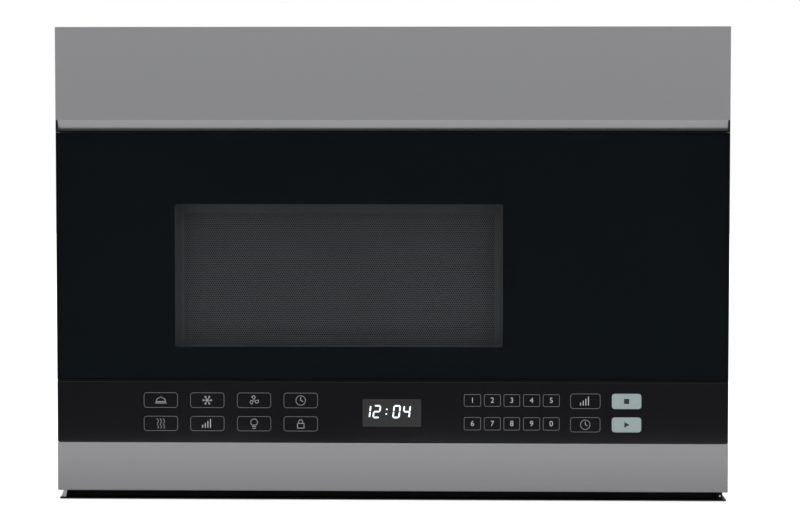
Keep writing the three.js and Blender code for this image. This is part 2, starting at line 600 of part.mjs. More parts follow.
// Pressed steel pan with the folded groove round it; the comb of slots is cut in the groove's lip and wall.
// Its middle is stepped forward behind the window; the holes of the screen there are too fine to cut.
const LIP = 7;
const SCREEN_STEP = 1.5;
const COMB_WIDTH = 3;
function chokePan() {
  const plate = block(panInner.left, panInner.right, PLATE_BACK - SHEET, PLATE_BACK,
    panInner.low, panInner.high);
  const innerWall = frameRing(panInner, inset(panInner, SHEET), PAN_FRONT, PLATE_BACK);
  const floor = frameRing(panOuter, inset(panInner, SHEET), PAN_FRONT, PAN_FRONT + SHEET);
  const outerWall = frameRing(panOuter, inset(panOuter, SHEET), PAN_FRONT, PAN_BACK);
  const lip = frameRing(panOuter, inset(panOuter, LIP), PAN_BACK - SHEET, PAN_BACK);
  const slots = [];
  const slotFront = PAN_BACK - 11;
  const across = Math.floor((panOuter.right - panOuter.left - 2 * LIP) / COMB_PITCH);
  const up = Math.floor((panOuter.high - panOuter.low - 2 * LIP) / COMB_PITCH);
  const midX = (panOuter.left + panOuter.right) / 2;
  const midZ = (panOuter.low + panOuter.high) / 2;
  for (let index = 0; index < across; index += 1) {
    const x = midX + (index - (across - 1) / 2) * COMB_PITCH;
    for (const low of [panOuter.low - 1, panOuter.high - LIP - 1]) {
      slots.push(block(x - COMB_WIDTH / 2, x + COMB_WIDTH / 2, slotFront, PAN_BACK + 1, low, low + LIP + 2));
    }
  }
  for (let index = 0; index < up; index += 1) {
    const z = midZ + (index - (up - 1) / 2) * COMB_PITCH;
    for (const left of [panOuter.left - 1, panOuter.right - LIP - 1]) {
      slots.push(block(left, left + LIP + 2, slotFront, PAN_BACK + 1,
        z - COMB_WIDTH / 2, z + COMB_WIDTH / 2));
    }
  }
  const screen = plateInXZ(inset(windowEdge, -6), PLATE_BACK - SHEET - SCREEN_STEP, PLATE_BACK - 0.4, 6);
  const screenBack = plateInXZ(inset(windowEdge, -5), PLATE_BACK - SCREEN_STEP, PLATE_BACK + 1, 5);
  return cut(join([plate, innerWall, floor, outerWall, lip, screen]), [screenBack, ...slots]);
}
add('choke_pan', chokePan(), blackSteel, doorGroup);

const innerWindow = plateInXZ(inset(windowEdge, -14), PLATE_BACK + SEAT, PLATE_BACK + INNER_SHEET, 3);
add('inner_window', innerWindow, clearGlass, doorGroup);

// Rear cover of the door: it hides the groove and lets the hooks out.
function doorBackCover() {
  const edge = inset(frameEdge, MOULD + SEAT);
  edge.left = LEFT + 9;
  const plate = plateInXZ(edge, COVER_FRONT, FRONT_REAR, 2);
  const hole = plateInXZ(inset(windowEdge, -9), COVER_FRONT - 1, FRONT_REAR + 1, 4);
  const slots = HOOK_Z.map((z) => hookSlot(z, COVER_FRONT - 1, FRONT_REAR + 1, 1));
  return cut(plate, [hole, ...slots]);
}
add('door_back_cover', doorBackCover(), blackPlastic, doorGroup);

// Sliding lever with two hooks; a spring presses it down.
const HOOK_TIP = CASE_FRONT + SHEET + 16;
function latchLever() {
  const bar = block(LATCH_X - LEVER_HALF, LATCH_X + LEVER_HALF, LEVER_FRONT, LEVER_BACK,
    HOOK_Z[0] - 12, LEVER_TOP);
  const hooks = HOOK_Z.map((z) => pushed('x', [
    [LEVER_BACK - 1, z - 3], [HOOK_TIP - 9, z - 3], [HOOK_TIP - 8, z - HOOK_HEIGHT / 2],
    [HOOK_TIP - 4, z - HOOK_HEIGHT / 2], [HOOK_TIP, z - 1], [HOOK_TIP, z + HOOK_HEIGHT / 2],
    [LEVER_BACK - 1, z + HOOK_HEIGHT / 2],
  ], LATCH_X - HOOK_WIDTH / 2, LATCH_X + HOOK_WIDTH / 2));
  const pocket = block(LATCH_X - 1.5, LATCH_X + 1.5, LEVER_FRONT - 1, LEVER_BACK - 3,
    HOOK_Z[0] + 20, HOOK_Z[1] - 20);
  return cut(join([bar, ...hooks]), [pocket]);
}
add('latch_lever', latchLever(), whitePlastic, doorGroup);

const SPRING_RADIUS = 3;
const SPRING_WIRE = 0.5;
const SPRING_TURNS = 5;
class Helix extends THREE.Curve {
  getPoint(t, target = new THREE.Vector3()) {
    const angle = t * SPRING_TURNS * 2 * Math.PI;
    const rise = SPRING_WIRE + t * (SPRING_LENGTH - 2 * SPRING_WIRE);
    return target.set(SPRING_RADIUS * Math.cos(angle), SPRING_RADIUS * Math.sin(angle), rise);
  }
}
function latchSpring() {
  const sides = 5;
  const section = new THREE.Shape(Array.from({ length: sides }, (_, index) => {
    const turn = (index * 2 * Math.PI) / sides;
    return new THREE.Vector2(SPRING_WIRE * Math.cos(turn), SPRING_WIRE * Math.sin(turn));
  }));
  const wire = new THREE.ExtrudeGeometry(section,
    { steps: SPRING_TURNS * 7, bevelEnabled: false, extrudePath: new Helix() });
  wire.translate(LATCH_X, (LEVER_FRONT + LEVER_BACK) / 2, SPRING_TOP - SPRING_LENGTH);
  return solid(wire);
}
add('latch_spring', latchSpring(), springSteel, doorGroup);

// Hinge bracket: a leg screwed to the front plate, an arm over the door's edge and the pin.
const ARM = 2;
const ARM_GAP = 0.6;
const ARM_RADIUS = 4.2;
const ARM_WIDTH = 22;
const LEG = 1.4;
const LEG_HEIGHT = 26;
const PIN_LENGTH = 10;
function hingeBracket(doorEdgeZ, away) {
  const near = doorEdgeZ + away * ARM_GAP;
  const far = near + away * ARM;
  const armLow = Math.min(near, far);
  const left = -CASE_HALF + 1;
  const outline = new THREE.Shape();
  outline.moveTo(left, CASE_FRONT - SEAT);
  outline.lineTo(left, PIVOT_Y + 8);
  outline.lineTo(PIVOT_X - ARM_RADIUS, PIVOT_Y);
  outline.absarc(PIVOT_X, PIVOT_Y, ARM_RADIUS, Math.PI, 2 * Math.PI);
  outline.lineTo(left + ARM_WIDTH, PIVOT_Y + 10);
  outline.lineTo(left + ARM_WIDTH, CASE_FRONT - SEAT);
  const arm = pushed('z', outline, armLow, armLow + ARM);
  const legFar = near + away * LEG_HEIGHT;
  const leg = block(left, left + ARM_WIDTH, CASE_FRONT - SEAT - LEG, CASE_FRONT - SEAT,
    Math.min(near, legFar), Math.max(near, legFar));
  const pinInner = doorEdgeZ - away * PIN_LENGTH;
  const pin = rod('z', PIN_RADIUS, Math.min(pinInner, far), Math.max(pinInner, far), PIVOT_X, PIVOT_Y, 24);
  return join([arm, leg, pin]);
}
add('hinge_bracket_upper', hingeBracket(DOOR_TOP, 1), zincSteel);
add('hinge_bracket_lower', hingeBracket(DOOR_BOTTOM, -1), zincSteel);

// ---------------------------------------------------------------- front mouldings

// Cut-out in a moulding's wall for a hinge arm.
const NOTCH_GAP = 2.5;
function hingeNotch(z0, z1) {
  return block(-CASE_HALF, -CASE_HALF + ARM_WIDTH + NOTCH_GAP, PIVOT_Y - ARM_RADIUS - 1, FRONT_REAR + 1,
    z0, z1);
}

// Stainless sheet over the top front: flat face, bevel, and the hems that hook round the moulding.
const HEM = 9;
function fasciaSkin() {
  const bevelBack = FRONT + BEVEL_DEPTH;
  const section = [
    [FRONT, HEIGHT], [FRONT, FASCIA_BOTTOM], [bevelBack, BEVEL_BOTTOM], [bevelBack + HEM, BEVEL_BOTTOM],
    [bevelBack + HEM, BEVEL_BOTTOM + SKIN], [bevelBack + SKIN, BEVEL_BOTTOM + SKIN],
    [FRONT + SKIN, FASCIA_BOTTOM + 0.2], [FRONT + SKIN, HEIGHT - SKIN], [FRONT + HEM, HEIGHT - SKIN],
    [FRONT + HEM, HEIGHT],
  ];
  const sheet = pushed('x', section, LEFT, RIGHT);
  const cheeks = [
    block(LEFT - 1, LEFT + MOULD_EDGE + 1.2 + SEAT, FRONT - 1, FRONT_REAR, BEVEL_BOTTOM - 1, FASCIA_BOTTOM),
    block(RIGHT - MOULD_EDGE - 1.2 - SEAT, RIGHT + 1, FRONT - 1, FRONT_REAR, BEVEL_BOTTOM - 1, FASCIA_BOTTOM),
  ];
  return cut(sheet, [...cheeks, hingeNotch(BEVEL_BOTTOM - 1, BEVEL_BOTTOM + SKIN + 0.1)]);
}
add('fascia_skin', fasciaSkin(), stainless);

// Moulding behind it. Air leaves through the louvres in its top, in front of the cabinet above.
const LOUVRE_MARGIN = 12;                        // from the side to the first louvre
const LOUVRE_PITCH = (WIDTH - 2 * LOUVRE_MARGIN) / LOUVRE_COUNT;
const LOUVRE_BAR = 4;
function ventGrille() {
  const front = FRONT + SKIN + SEAT;
  const bevelBack = FRONT + BEVEL_DEPTH + SKIN + SEAT;
  const low = BEVEL_BOTTOM + SKIN + SEAT;
  const top = HEIGHT - SKIN - SEAT;
  const halfWidth = WIDTH / 2 - MOULD_EDGE;
  const outer = pushed('x', [
    [front, top], [front, FASCIA_BOTTOM + SEAT], [bevelBack, low], [FRONT_REAR, low], [FRONT_REAR, top],
  ], -halfWidth, halfWidth);
  const inner = pushed('x', [
    [front + MOULD, top - MOULD], [front + MOULD, FASCIA_BOTTOM + MOULD], [bevelBack + MOULD, low + MOULD],
    [FRONT_REAR + 1, low + MOULD], [FRONT_REAR + 1, top - MOULD],
  ], -halfWidth + MOULD, halfWidth - MOULD);
  const cheeks = [-1, 1].map((side) => {
    const outerX = side * halfWidth;
    const innerX = side * (halfWidth - 1.2);
    return block(Math.min(outerX, innerX), Math.max(outerX, innerX), FRONT + 0.2, FRONT_REAR,
      BEVEL_BOTTOM, FASCIA_BOTTOM - SEAT);
  });
  const louvres = [];
  for (let index = 0; index < LOUVRE_COUNT; index += 1) {
    const x = LEFT + LOUVRE_MARGIN + (index + 0.5) * LOUVRE_PITCH;
    const half = (LOUVRE_PITCH - LOUVRE_BAR) / 2;
    louvres.push(pushed('y', [
      [x - half, top + 1], [x - half + 1, top - MOULD - 1],
      [x + half - 1, top - MOULD - 1], [x + half, top + 1],
    ], FRONT + HEM + 1.5, FRONT_REAR - 3));
  }
  const notch = hingeNotch(BEVEL_BOTTOM - 1, DOOR_TOP + ARM_GAP + ARM + 0.6);
  return cut(join([outer.subtract(inner), ...cheeks]), [...louvres, notch]);
}
add('vent_grille', ventGrille(), blackPlastic);

// Stainless sheet under the keys, with hems top and bottom.
const lowerFront = FRONT;
function lowerPanel() {
  const low = PANEL_BOTTOM + SEAT;
  const high = PANEL_TOP - SEAT;
  return pushed('x', [
    [lowerFront, low + 0.5], [lowerFront + 0.5, low], [lowerFront + HEM, low], [lowerFront + HEM, low + SKIN],
    [lowerFront + SKIN, low + SKIN], [lowerFront + SKIN, high - SKIN], [lowerFront + HEM, high - SKIN],
    [lowerFront + HEM, high], [lowerFront + 0.5, high], [lowerFront, high - 0.5],
  ], LEFT, RIGHT);
}
add('lower_panel', lowerPanel(), stainless);

// Key panel: one flat sheet of black plastic with a clear place for the clock.
const KEY_SHEET = 3;
const DISPLAY_X = 0;              // middle of the clock
const KEY_RECESS = 0.4;           // the key panel lies this far behind the front
const DISPLAY_WIDTH = 53;
const DISPLAY_HEIGHT = 25;
const DISPLAY_Z = PANEL_TOP + 28;
const keyEdge = { left: LEFT, right: RIGHT, low: PANEL_TOP + SEAT, high: KEYS_TOP - SEAT };
add('touch_panel', plateInXZ(keyEdge, FRONT + KEY_RECESS, FRONT + KEY_SHEET, 1.2), blackPlastic);

// Moulding that carries the key panel and the lower stainless sheet, open at the back.
function controlHousing() {
  const half = WIDTH / 2 - MOULD_EDGE;
  const keyFace = FRONT + KEY_SHEET + SEAT;
  const noseFace = lowerFront + SKIN + SEAT;
  const low = PANEL_BOTTOM + SEAT + SKIN + SEAT;
  const step = PANEL_TOP - SEAT - SKIN - SEAT;
  const outer = pushed('x', [
    [noseFace, low], [FRONT_REAR, low], [FRONT_REAR, KEYS_TOP], [keyFace, KEYS_TOP],
    [keyFace, PANEL_TOP + SEAT], [lowerFront + HEM + SEAT, PANEL_TOP + SEAT], [lowerFront + HEM + SEAT, step],
    [noseFace, step],
  ], -half, half);
  const inner = pushed('x', [
    [noseFace + MOULD, low + MOULD], [FRONT_REAR + 1, low + MOULD], [FRONT_REAR + 1, KEYS_TOP - MOULD],
    [lowerFront + HEM + SEAT + MOULD, KEYS_TOP - MOULD], [lowerFront + HEM + SEAT + MOULD, step - MOULD],
    [noseFace + MOULD, step - MOULD],
  ], -half + MOULD, half - MOULD);
  const windowHole = block(DISPLAY_X - DISPLAY_WIDTH / 2 - 1, DISPLAY_X + DISPLAY_WIDTH / 2 + 1, FRONT,
    FRONT_REAR - 6, DISPLAY_Z - DISPLAY_HEIGHT / 2 - 1, DISPLAY_Z + DISPLAY_HEIGHT / 2 + 1);
  const notch = hingeNotch(DOOR_BOTTOM - ARM_GAP - ARM - 0.6, KEYS_TOP + 1);
  return cut(outer.subtract(inner), [windowHole, notch]);
}
add('control_housing', controlHousing(), blackPlastic);

// Circuit board behind the keys with the parts that stand on it, and the clock module in its window.
const BOARD_FRONT = lowerFront + HEM + SEAT + MOULD + 6;
function controlBoard() {
  const plate = block(-150, 250, BOARD_FRONT, BOARD_FRONT + 1.6, PANEL_TOP + 4, KEYS_TOP - 4);
  const face = BOARD_FRONT + 1;
  const relays = [60, 84, 108].map((x) => block(x, x + 18, face, face + 12, PANEL_TOP + 8, PANEL_TOP + 24));
  const chip = block(-40, -14, face, face + 3, PANEL_TOP + 20, PANEL_TOP + 34);
  const plug = block(180, 214, face, face + 9, PANEL_TOP + 28, PANEL_TOP + 38);
  return join([plate, ...relays, chip, plug]);
}
add('control_board', controlBoard(), board);
const displayModule = block(
  DISPLAY_X - DISPLAY_WIDTH / 2, DISPLAY_X + DISPLAY_WIDTH / 2, FRONT + KEY_SHEET + SEAT, BOARD_FRONT - SEAT,
  DISPLAY_Z - DISPLAY_HEIGHT / 2, DISPLAY_Z + DISPLAY_HEIGHT / 2);
add('display_module', displayModule, greyPlastic);

// ---------------------------------------------------------------- underside

const FILTER_FROM_SIDE = 35;      // case side to the filter's edge
const FILTER_X = CASE_HALF - FILTER_FROM_SIDE - FILTER_WIDTH / 2;
const FILTER_Y = 30;
const FRONT_LEDGE = 7;
const REAR_LEDGE = 3;
const FILTER_Z = BASE_SHEET + SEAT;
const LENS_WIDTH = 124;
const LENS_DEPTH = 62;
const LENS_FRONT = -150;
const HINGE_Y = LENS_FRONT + LENS_DEPTH;
const HINGE_Z = 1.8;
const CORNER_TAB = 5;
const SIDE_FLANGE = 14;           // height of the side flanges
function basePan() {
  const plate = block(-CASE_HALF, CASE_HALF, FRONT + 4, BACK, 0, BASE_SHEET);
  const sunk = BASE_SHEET - 0.2;
  const riser = block(-CASE_HALF + 7, CASE_HALF - 7, FRONT + 14, FRONT + 15, sunk, LIP_HEIGHT - SEAT);
  const cornerTabs = [-1, 1].map((side) => {
    const outer = side * (CASE_HALF - 3);
    const inner = side * (CASE_HALF - 3 - CORNER_TAB);
    return block(Math.min(outer, inner), Math.max(outer, inner), FRONT + 8, FRONT + 15, sunk, LIP_HEIGHT - 1);
  });
  const sides = [-1, 1].map((side) => {
    const outer = side * (CASE_INNER - SEAT);
    const inner = outer - side * BASE_SHEET;
    return block(Math.min(outer, inner), Math.max(outer, inner), SIDE_FRONT, SIDE_BACK - 6,
      sunk, SIDE_FLANGE);
  });
  const rails = [];
  const holes = [];
  for (const side of [-1, 1]) {
    const x = side * FILTER_X;
    const half = FILTER_WIDTH / 2 + 1;
    const front = FILTER_Y - FILTER_DEPTH / 2 - 1;
    const back = FILTER_Y + FILTER_DEPTH / 2 + FILTER_SLIDE + 1;
    const top = FILTER_Z + FILTER_THICKNESS + 1;
    const outside = block(x - half - 1.2, x + half + 1.2, front - 1.2, back + 1.2, sunk, top);
    const inside = block(x - half, x + half, front, back, BASE_SHEET - 0.5, top + 1);
    const lips = [-1, 1].map((edge) => {
      const outer = x + edge * (half + 1);
      const inner = x + edge * (half - 5);
      return block(Math.min(outer, inner), Math.max(outer, inner), front, back, top - 0.6, top + 0.4);
    });
    rails.push(outside.subtract(inside), ...lips);
    holes.push(pushed('z', roundedRectangle(x, FILTER_Y + (FRONT_LEDGE - REAR_LEDGE) / 2, FILTER_WIDTH - 14,
      FILTER_DEPTH - FRONT_LEDGE - REAR_LEDGE, 6), -1, BASE_SHEET + 0.1));
  }
  const lensHole = block(-LENS_WIDTH / 2 - 1, LENS_WIDTH / 2 + 1, LENS_FRONT - 1, HINGE_Y + 2.5,
    -1, BASE_SHEET + 1);
  const knuckles = [-1, 1].map((side) => {
    const x = side * (LENS_WIDTH / 2 + 3);
    return block(x - 2.6, x + 2.6, HINGE_Y - 4, HINGE_Y + 4, 0.4, HINGE_Z + 3);
  });
  const hingeBore = rod('x', 1.2, -LENS_WIDTH / 2 - 7, LENS_WIDTH / 2 + 7, HINGE_Y, HINGE_Z, 12);
  const shell = cut(join([plate, riser, ...cornerTabs, ...sides, ...rails]), [...holes, lensHole]);
  return cut(join([shell, ...knuckles]), [hingeBore]);
}
add('base_pan', basePan(), blackSteel);

// Grease filter: an edge frame round a thin waffle of drawn aluminium, with a finger ring.
function greaseFilter(x) {
  const low = FILTER_Z;
  const high = FILTER_Z + FILTER_THICKNESS;
  const left = x - FILTER_WIDTH / 2;
  const right = x + FILTER_WIDTH / 2;
  const front = FILTER_Y - FILTER_DEPTH / 2;
  const back = FILTER_Y + FILTER_DEPTH / 2;
  const edge = block(left, right, front, back, low, high)
    .subtract(block(left + 8, right - 8, front + 8, back - 8, low - 1, high + 1));
  const sheet = block(left + 7, right - 7, front + 7, back - 7, low + 0.9, high - 0.9);
  const ribs = [];
  for (let index = 1; index < 7; index += 1) {
    const ribX = left + (index * FILTER_WIDTH) / 7;
    ribs.push(block(ribX - 1, ribX + 1, front + 7, back - 7, low + 0.4, low + 1));
  }
  const ring = turned([[6.5, low - 0.9], [9, low - 0.9], [9, low + 0.1], [6.5, low + 0.1], [6.5, low - 0.9]],
    x, front + 24, 12);
  const strap = block(x - 5, x + 5, front + 12, front + 18, low - 1, low + 1);
  return join([edge, sheet, ...ribs, ring, strap]);
}
add('grease_filter_left', greaseFilter(-FILTER_X), aluminium);
add('grease_filter_right', greaseFilter(FILTER_X), aluminium);

// Lamp cover: frosted lens in a thin rim, hinged at its rear edge.
function lampCover() {
  const half = LENS_WIDTH / 2;
  const outline = roundedRectangle(0, (LENS_FRONT + HINGE_Y) / 2, LENS_WIDTH, LENS_DEPTH, 1.5);
  const plate = pushed('z', outline, 0.4, 2.6);
  const dish = pushed('x', [
    [LENS_FRONT + 6, 2.4], [HINGE_Y - 6, 2.4], [HINGE_Y - 10, 7], [LENS_FRONT + 10, 7],
  ], -half + 8, half - 8);
  const hollow = pushed('x', [
    [LENS_FRONT + 8, -1], [LENS_FRONT + 12, 5.4], [HINGE_Y - 12, 5.4], [HINGE_Y - 8, -1],
  ], -half + 10, half - 10);
  const pivot = rod('x', 1, -half - 4, half + 4, HINGE_Y, HINGE_Z, 12);
  const barrel = rod('x', 1.4, -half, half, HINGE_Y, HINGE_Z, 12);
  return join([plate.add(dish).subtract(hollow), barrel, pivot]);
}
add('lamp_cover', lampCover(), clearGlass);

// Lamp holder under the chassis plate with two small bulbs.
function cooktopLamp() {
  const y = (LENS_FRONT + HINGE_Y) / 2;
  const bracket = block(-50, 50, y - 14, y + 14, DUCT_HEIGHT - SEAT - 1.2, DUCT_HEIGHT - SEAT);
  const stem = block(-8, 8, y - 10, y + 10, 18, DUCT_HEIGHT - SEAT);
  const bulbs = [-1, 1].map((side) => {
    const cap = rod('x', 6, side < 0 ? -22 : 7, side < 0 ? -7 : 22, y, 26, 10);
    const envelope = new THREE.SphereGeometry(9, 10, 6);
    envelope.scale(1.4, 1, 1);
    envelope.translate(side * 31, y, 26);
    return cap.add(solid(envelope));
  });
  return join([bracket, stem, ...bulbs]);
}
add('cooktop_lamp', cooktopLamp(), whitePlastic);

// ---------------------------------------------------------------- power parts in the right bay

const magnetronLeft = guideLeft + GUIDE_DEPTH + SEAT;
const FIN_COUNT = 4;
function magnetron() {
  const x0 = magnetronLeft;
  const length = 52;
  const yoke = 1.6;
  const halfHeight = 34;
  const ends = [x0, x0 + length].map((x) => block(x, x + yoke, PORT_Y - 40, PORT_Y + 40,
    PORT_Z - halfHeight, PORT_Z + halfHeight));
  const links = [PORT_Z - halfHeight, PORT_Z + halfHeight].map((z) => block(x0, x0 + length + yoke,
    PORT_Y - 30, PORT_Y + 30, z - yoke / 2, z + yoke / 2));
  const core = rod('x', 19, x0, x0 + length, PORT_Y, PORT_Z, 12);
  const fins = [];
  for (let index = 0; index < FIN_COUNT; index += 1) {
    const x = x0 + 8 + (index * (length - 16)) / (FIN_COUNT - 1);
    fins.push(block(x - 0.5, x + 0.5, PORT_Y - 36, PORT_Y + 36, PORT_Z - 30, PORT_Z + 30));
  }
  const antenna = rod('x', 7.5, x0 - 18, x0 + 1, PORT_Y, PORT_Z, 12);
  const boxStart = x0 + length + 1;
  const filterBox = block(boxStart, boxStart + 31, PORT_Y - 26, PORT_Y + 26, PORT_Z - 24, PORT_Z + 24);
  const terminals = block(boxStart + 13, boxStart + 23, PORT_Y - 34, PORT_Y - 25, PORT_Z - 6, PORT_Z + 6);
  return join([core, ...ends, ...links, ...fins, antenna, filterBox, terminals]);
}
add('magnetron', magnetron(), zincSteel);

// High voltage transformer: laminated core on a foot plate with its two windings.
const FLOOR_SEAT = CHASSIS_TOP + SEAT;
function transformer() {
  const x = CASE_HALF - 64;
  const y = -92;
  const foot = block(x - 48, x + 48, y - 30, y + 30, FLOOR_SEAT, FLOOR_SEAT + 2);
  const core = block(x - 44, x + 44, y - 23, y + 23, FLOOR_SEAT + 1, FLOOR_SEAT + 74)
    .subtract(block(x - 29, x - 15, y - 30, y + 30, FLOOR_SEAT + 16, FLOOR_SEAT + 60))
    .subtract(block(x + 15, x + 29, y - 30, y + 30, FLOOR_SEAT + 16, FLOOR_SEAT + 60));
  const windings = [[18, 36], [38.5, 58]].map(([low, high]) => pushed('z',
    roundedRectangle(x, y, 57, 74, 12), FLOOR_SEAT + low, FLOOR_SEAT + high));
  return join([foot, core, ...windings]);
}
add('transformer', transformer(), ironCore);

function capacitor() {
  const x = CASE_HALF - 84;
  const y = -18;
  const can = pushed('z', roundedRectangle(x, y, 54, 34, 16), FLOOR_SEAT, FLOOR_SEAT + 84);
  const rim = pushed('z', roundedRectangle(x, y, 56, 36, 17), FLOOR_SEAT + 82, FLOOR_SEAT + 85);
  const tabs = [-12, 12].map((offset) => block(x + offset - 3, x + offset + 3, y - 0.5, y + 0.5,
    FLOOR_SEAT + 84, FLOOR_SEAT + 96));
  return join([can, rim, ...tabs]);
}
add('capacitor', capacitor(), aluminium);

// Mains filter board under the top, with its coil, fuse and capacitor.
function filterBoard() {
  const z = HEIGHT - 44;
  const right = CASE_HALF - 14;
  const left = right - 100;
  const plate = block(left, right, -20, 46, z, z + 1.6);
  const coilSection = [[7, z + 1.2], [15, z + 1.2], [15, z + 14], [7, z + 14], [7, z + 1.2]];
  const coil = turned(coilSection, left + 27, 12, 16);
  const fuse = rod('x', 3.5, right - 43, right - 13, 30, z + 6, 10);
  const clips = [right - 38, right - 18].map((x) => block(x - 2, x + 2, 27, 33, z + 1, z + 6));
  const box = block(right - 43, right - 13, -12, 6, z + 1, z + 17);
  const corners = [[left + 4, -16], [right - 4, 42], [left + 4, 42], [right - 4, -16]];
  const posts = corners.map(([x, y]) => block(x - 3, x + 3, y - 3, y + 3, z + 1, HEIGHT - SHEET - SEAT));
  return join([plate, coil, fuse, ...clips, box, ...posts]);
}
add('filter_board', filterBoard(), board);

// Oven lamp: bulb and cap on a small plate that covers the lamp holes.
function ovenLamp() {
  const x0 = opening.right + SHEET + SEAT;
  const plate = block(x0, x0 + 1.2, LAMP_Y - 22, LAMP_Y + 22, LAMP_Z - 18, LAMP_Z + 18)
    .subtract(block(x0 - 1, x0 + 3, LAMP_Y - 12, LAMP_Y + 12, LAMP_Z - 12, LAMP_Z + 12));
  const strap = block(x0, x0 + 30, LAMP_Y + 14, LAMP_Y + 15.2, LAMP_Z - 10, LAMP_Z + 10);
  const end = block(x0 + 29, x0 + 30.2, LAMP_Y - 12, LAMP_Y + 15.2, LAMP_Z - 10, LAMP_Z + 10);
  const cap = rod('x', 7, x0 + 20, x0 + 40, LAMP_Y, LAMP_Z, 16);
  const bulb = new THREE.SphereGeometry(10, 10, 8);
  bulb.translate(x0 + 14, LAMP_Y, LAMP_Z);
  return join([plate, strap, end, cap, solid(bulb)]);
}
add('oven_lamp', ovenLamp(), whitePlastic);

// Axial fan that cools the power parts: frame, motor and blades on one axis along Y.
const FAN_X = CASE_HALF - 70;
const FAN_Z = 160;
const FAN_Y = 128;
const FAN_RADIUS = 50;
const FAN_BLADES = 5;
function coolingFanFrame() {
  const plate = block(FAN_X - 62, FAN_X + 62, FAN_Y, FAN_Y + 1.2, CHASSIS_TOP + SEAT, FAN_Z + 60);
  const foot = block(FAN_X - 62, FAN_X + 62, FAN_Y, FAN_Y + 16, CHASSIS_TOP + SEAT, CHASSIS_TOP + SEAT + 1.2);
  const hole = rod('y', FAN_RADIUS + 2.5, FAN_Y - 5, FAN_Y + 8, FAN_X, FAN_Z, 20);
  const collar = rod('y', FAN_RADIUS + 3.7, FAN_Y - 10, FAN_Y + 1, FAN_X, FAN_Z, 20)
    .subtract(rod('y', FAN_RADIUS + 2.5, FAN_Y - 12, FAN_Y + 3, FAN_X, FAN_Z, 20));
  const arms = [-1, 1].map((side) => block(FAN_X - 66 * (side < 0 ? 1 : 0), FAN_X + 66 * (side < 0 ? 0 : 1),
    FAN_Y + 14, FAN_Y + 15.2, FAN_Z - 5, FAN_Z + 5));
  const posts = [-1, 1].map((side) => block(FAN_X + side * 60 - 4, FAN_X + side * 60 + 4, FAN_Y, FAN_Y + 15.2,
    FAN_Z - 5, FAN_Z + 5));
  const shaftHole = rod('y', 3.2, FAN_Y + 10, FAN_Y + 20, FAN_X, FAN_Z, 16);
  return cut(join([plate.subtract(hole), foot, collar, ...arms, ...posts]), [shaftHole]);
}
add('cooling_fan_frame', coolingFanFrame(), zincSteel);

function coolingFanMotor() {
  const y0 = FAN_Y + 15.2 + SEAT;
  const core = block(FAN_X - 28, FAN_X + 28, y0 + 4, y0 + 20, FAN_Z - 34, FAN_Z + 24);
  const bearing = rod('y', 11, y0, y0 + 26, FAN_X, FAN_Z, 20);
  const coil = rod('x', 12, FAN_X - 16, FAN_X + 16, y0 + 12, FAN_Z - 34, 20);
  const bore = rod('y', 2.6, y0 - 1, y0 + 22, FAN_X, FAN_Z, 16);
  return cut(join([core, bearing, coil]), [bore]);
}
add('cooling_fan_motor', coolingFanMotor(), ironCore);

// Blades are built about the fan's own axis and placed on it.
function coolingFanBlades() {
  const hub = rod('y', 14, -9, 3, 0, 0, 24);
  const shaft = rod('y', 2, 2, FAN_Y + 15.2 + 16 - (FAN_Y - 3), 0, 0, 16);
  const blades = [];
  for (let index = 0; index < FAN_BLADES; index += 1) {
    const outline = new THREE.Shape();
    outline.moveTo(11, -7);
    outline.quadraticCurveTo(30, -16, FAN_RADIUS - 2, -15);
    outline.quadraticCurveTo(FAN_RADIUS + 1, 0, FAN_RADIUS - 5, 13);
    outline.quadraticCurveTo(28, 12, 11, 6);
    const blade = new THREE.ExtrudeGeometry(outline, { depth: 1.4, bevelEnabled: false, curveSegments: 2 });
    blade.translate(0, 0, -0.7);
    blade.rotateX(Math.PI / 2 + 0.42);
    blade.translate(0, -3.5, 0);
    blade.rotateY((index * 2 * Math.PI) / FAN_BLADES);
    blades.push(solid(blade));
  }
  return join([hub, shaft, ...blades]);
}
const fanBlades = add('cooling_fan_blades', coolingFanBlades(), whitePlastic);
fanBlades.position.set(FAN_X, FAN_Y - 3, FAN_Z);

// ---------------------------------------------------------------- door switches

const SWITCH_THICK = 10;
const SWITCH_WIDTH = 16;
const SWITCH_LENGTH = 26;
const PLUNGER_RADIUS = 1.6;
const PLUNGER_FRONT = HOOK_TIP + 0.5;             // released position
const PLUNGER_DEPTH = 4.5;                        // guided length inside the switch
const SWITCH_FRONT = PLUNGER_FRONT + PLUNGER_TRAVEL + 0.7;
const PAIR_GAP = 0.2;                             // between each lower switch and the middle of its hook
const switchZ = [
  HOOK_Z[1] + LATCH_TRAVEL / 2,
  HOOK_Z[0] + SWITCH_THICK / 2 + PAIR_GAP,
  HOOK_Z[0] - SWITCH_THICK / 2 - PAIR_GAP,
];
const plungerOffset = [0, -1.6, 1.6];
function switchBody(index) {
  const z = switchZ[index];
  const end = SWITCH_FRONT + SWITCH_LENGTH;
  const body = block(LATCH_X - SWITCH_WIDTH / 2, LATCH_X + SWITCH_WIDTH / 2, SWITCH_FRONT, end,
    z - SWITCH_THICK / 2, z + SWITCH_THICK / 2);
  const tabs = [-5, 5].map((offset) => block(LATCH_X + offset - 2, LATCH_X + offset + 2, end - 1, end + 8,
    z - 0.5, z + 0.5));
  const bore = rod('y', PLUNGER_RADIUS + 0.2, SWITCH_FRONT - 1,
    SWITCH_FRONT + PLUNGER_DEPTH + PLUNGER_TRAVEL + SEAT, LATCH_X, z + plungerOffset[index], 12);
  return cut(join([body, ...tabs]), [bore]);
}
function plunger(index) {
  return rod('y', PLUNGER_RADIUS, PLUNGER_FRONT, SWITCH_FRONT + PLUNGER_DEPTH, LATCH_X,
    switchZ[index] + plungerOffset[index], 12);
}
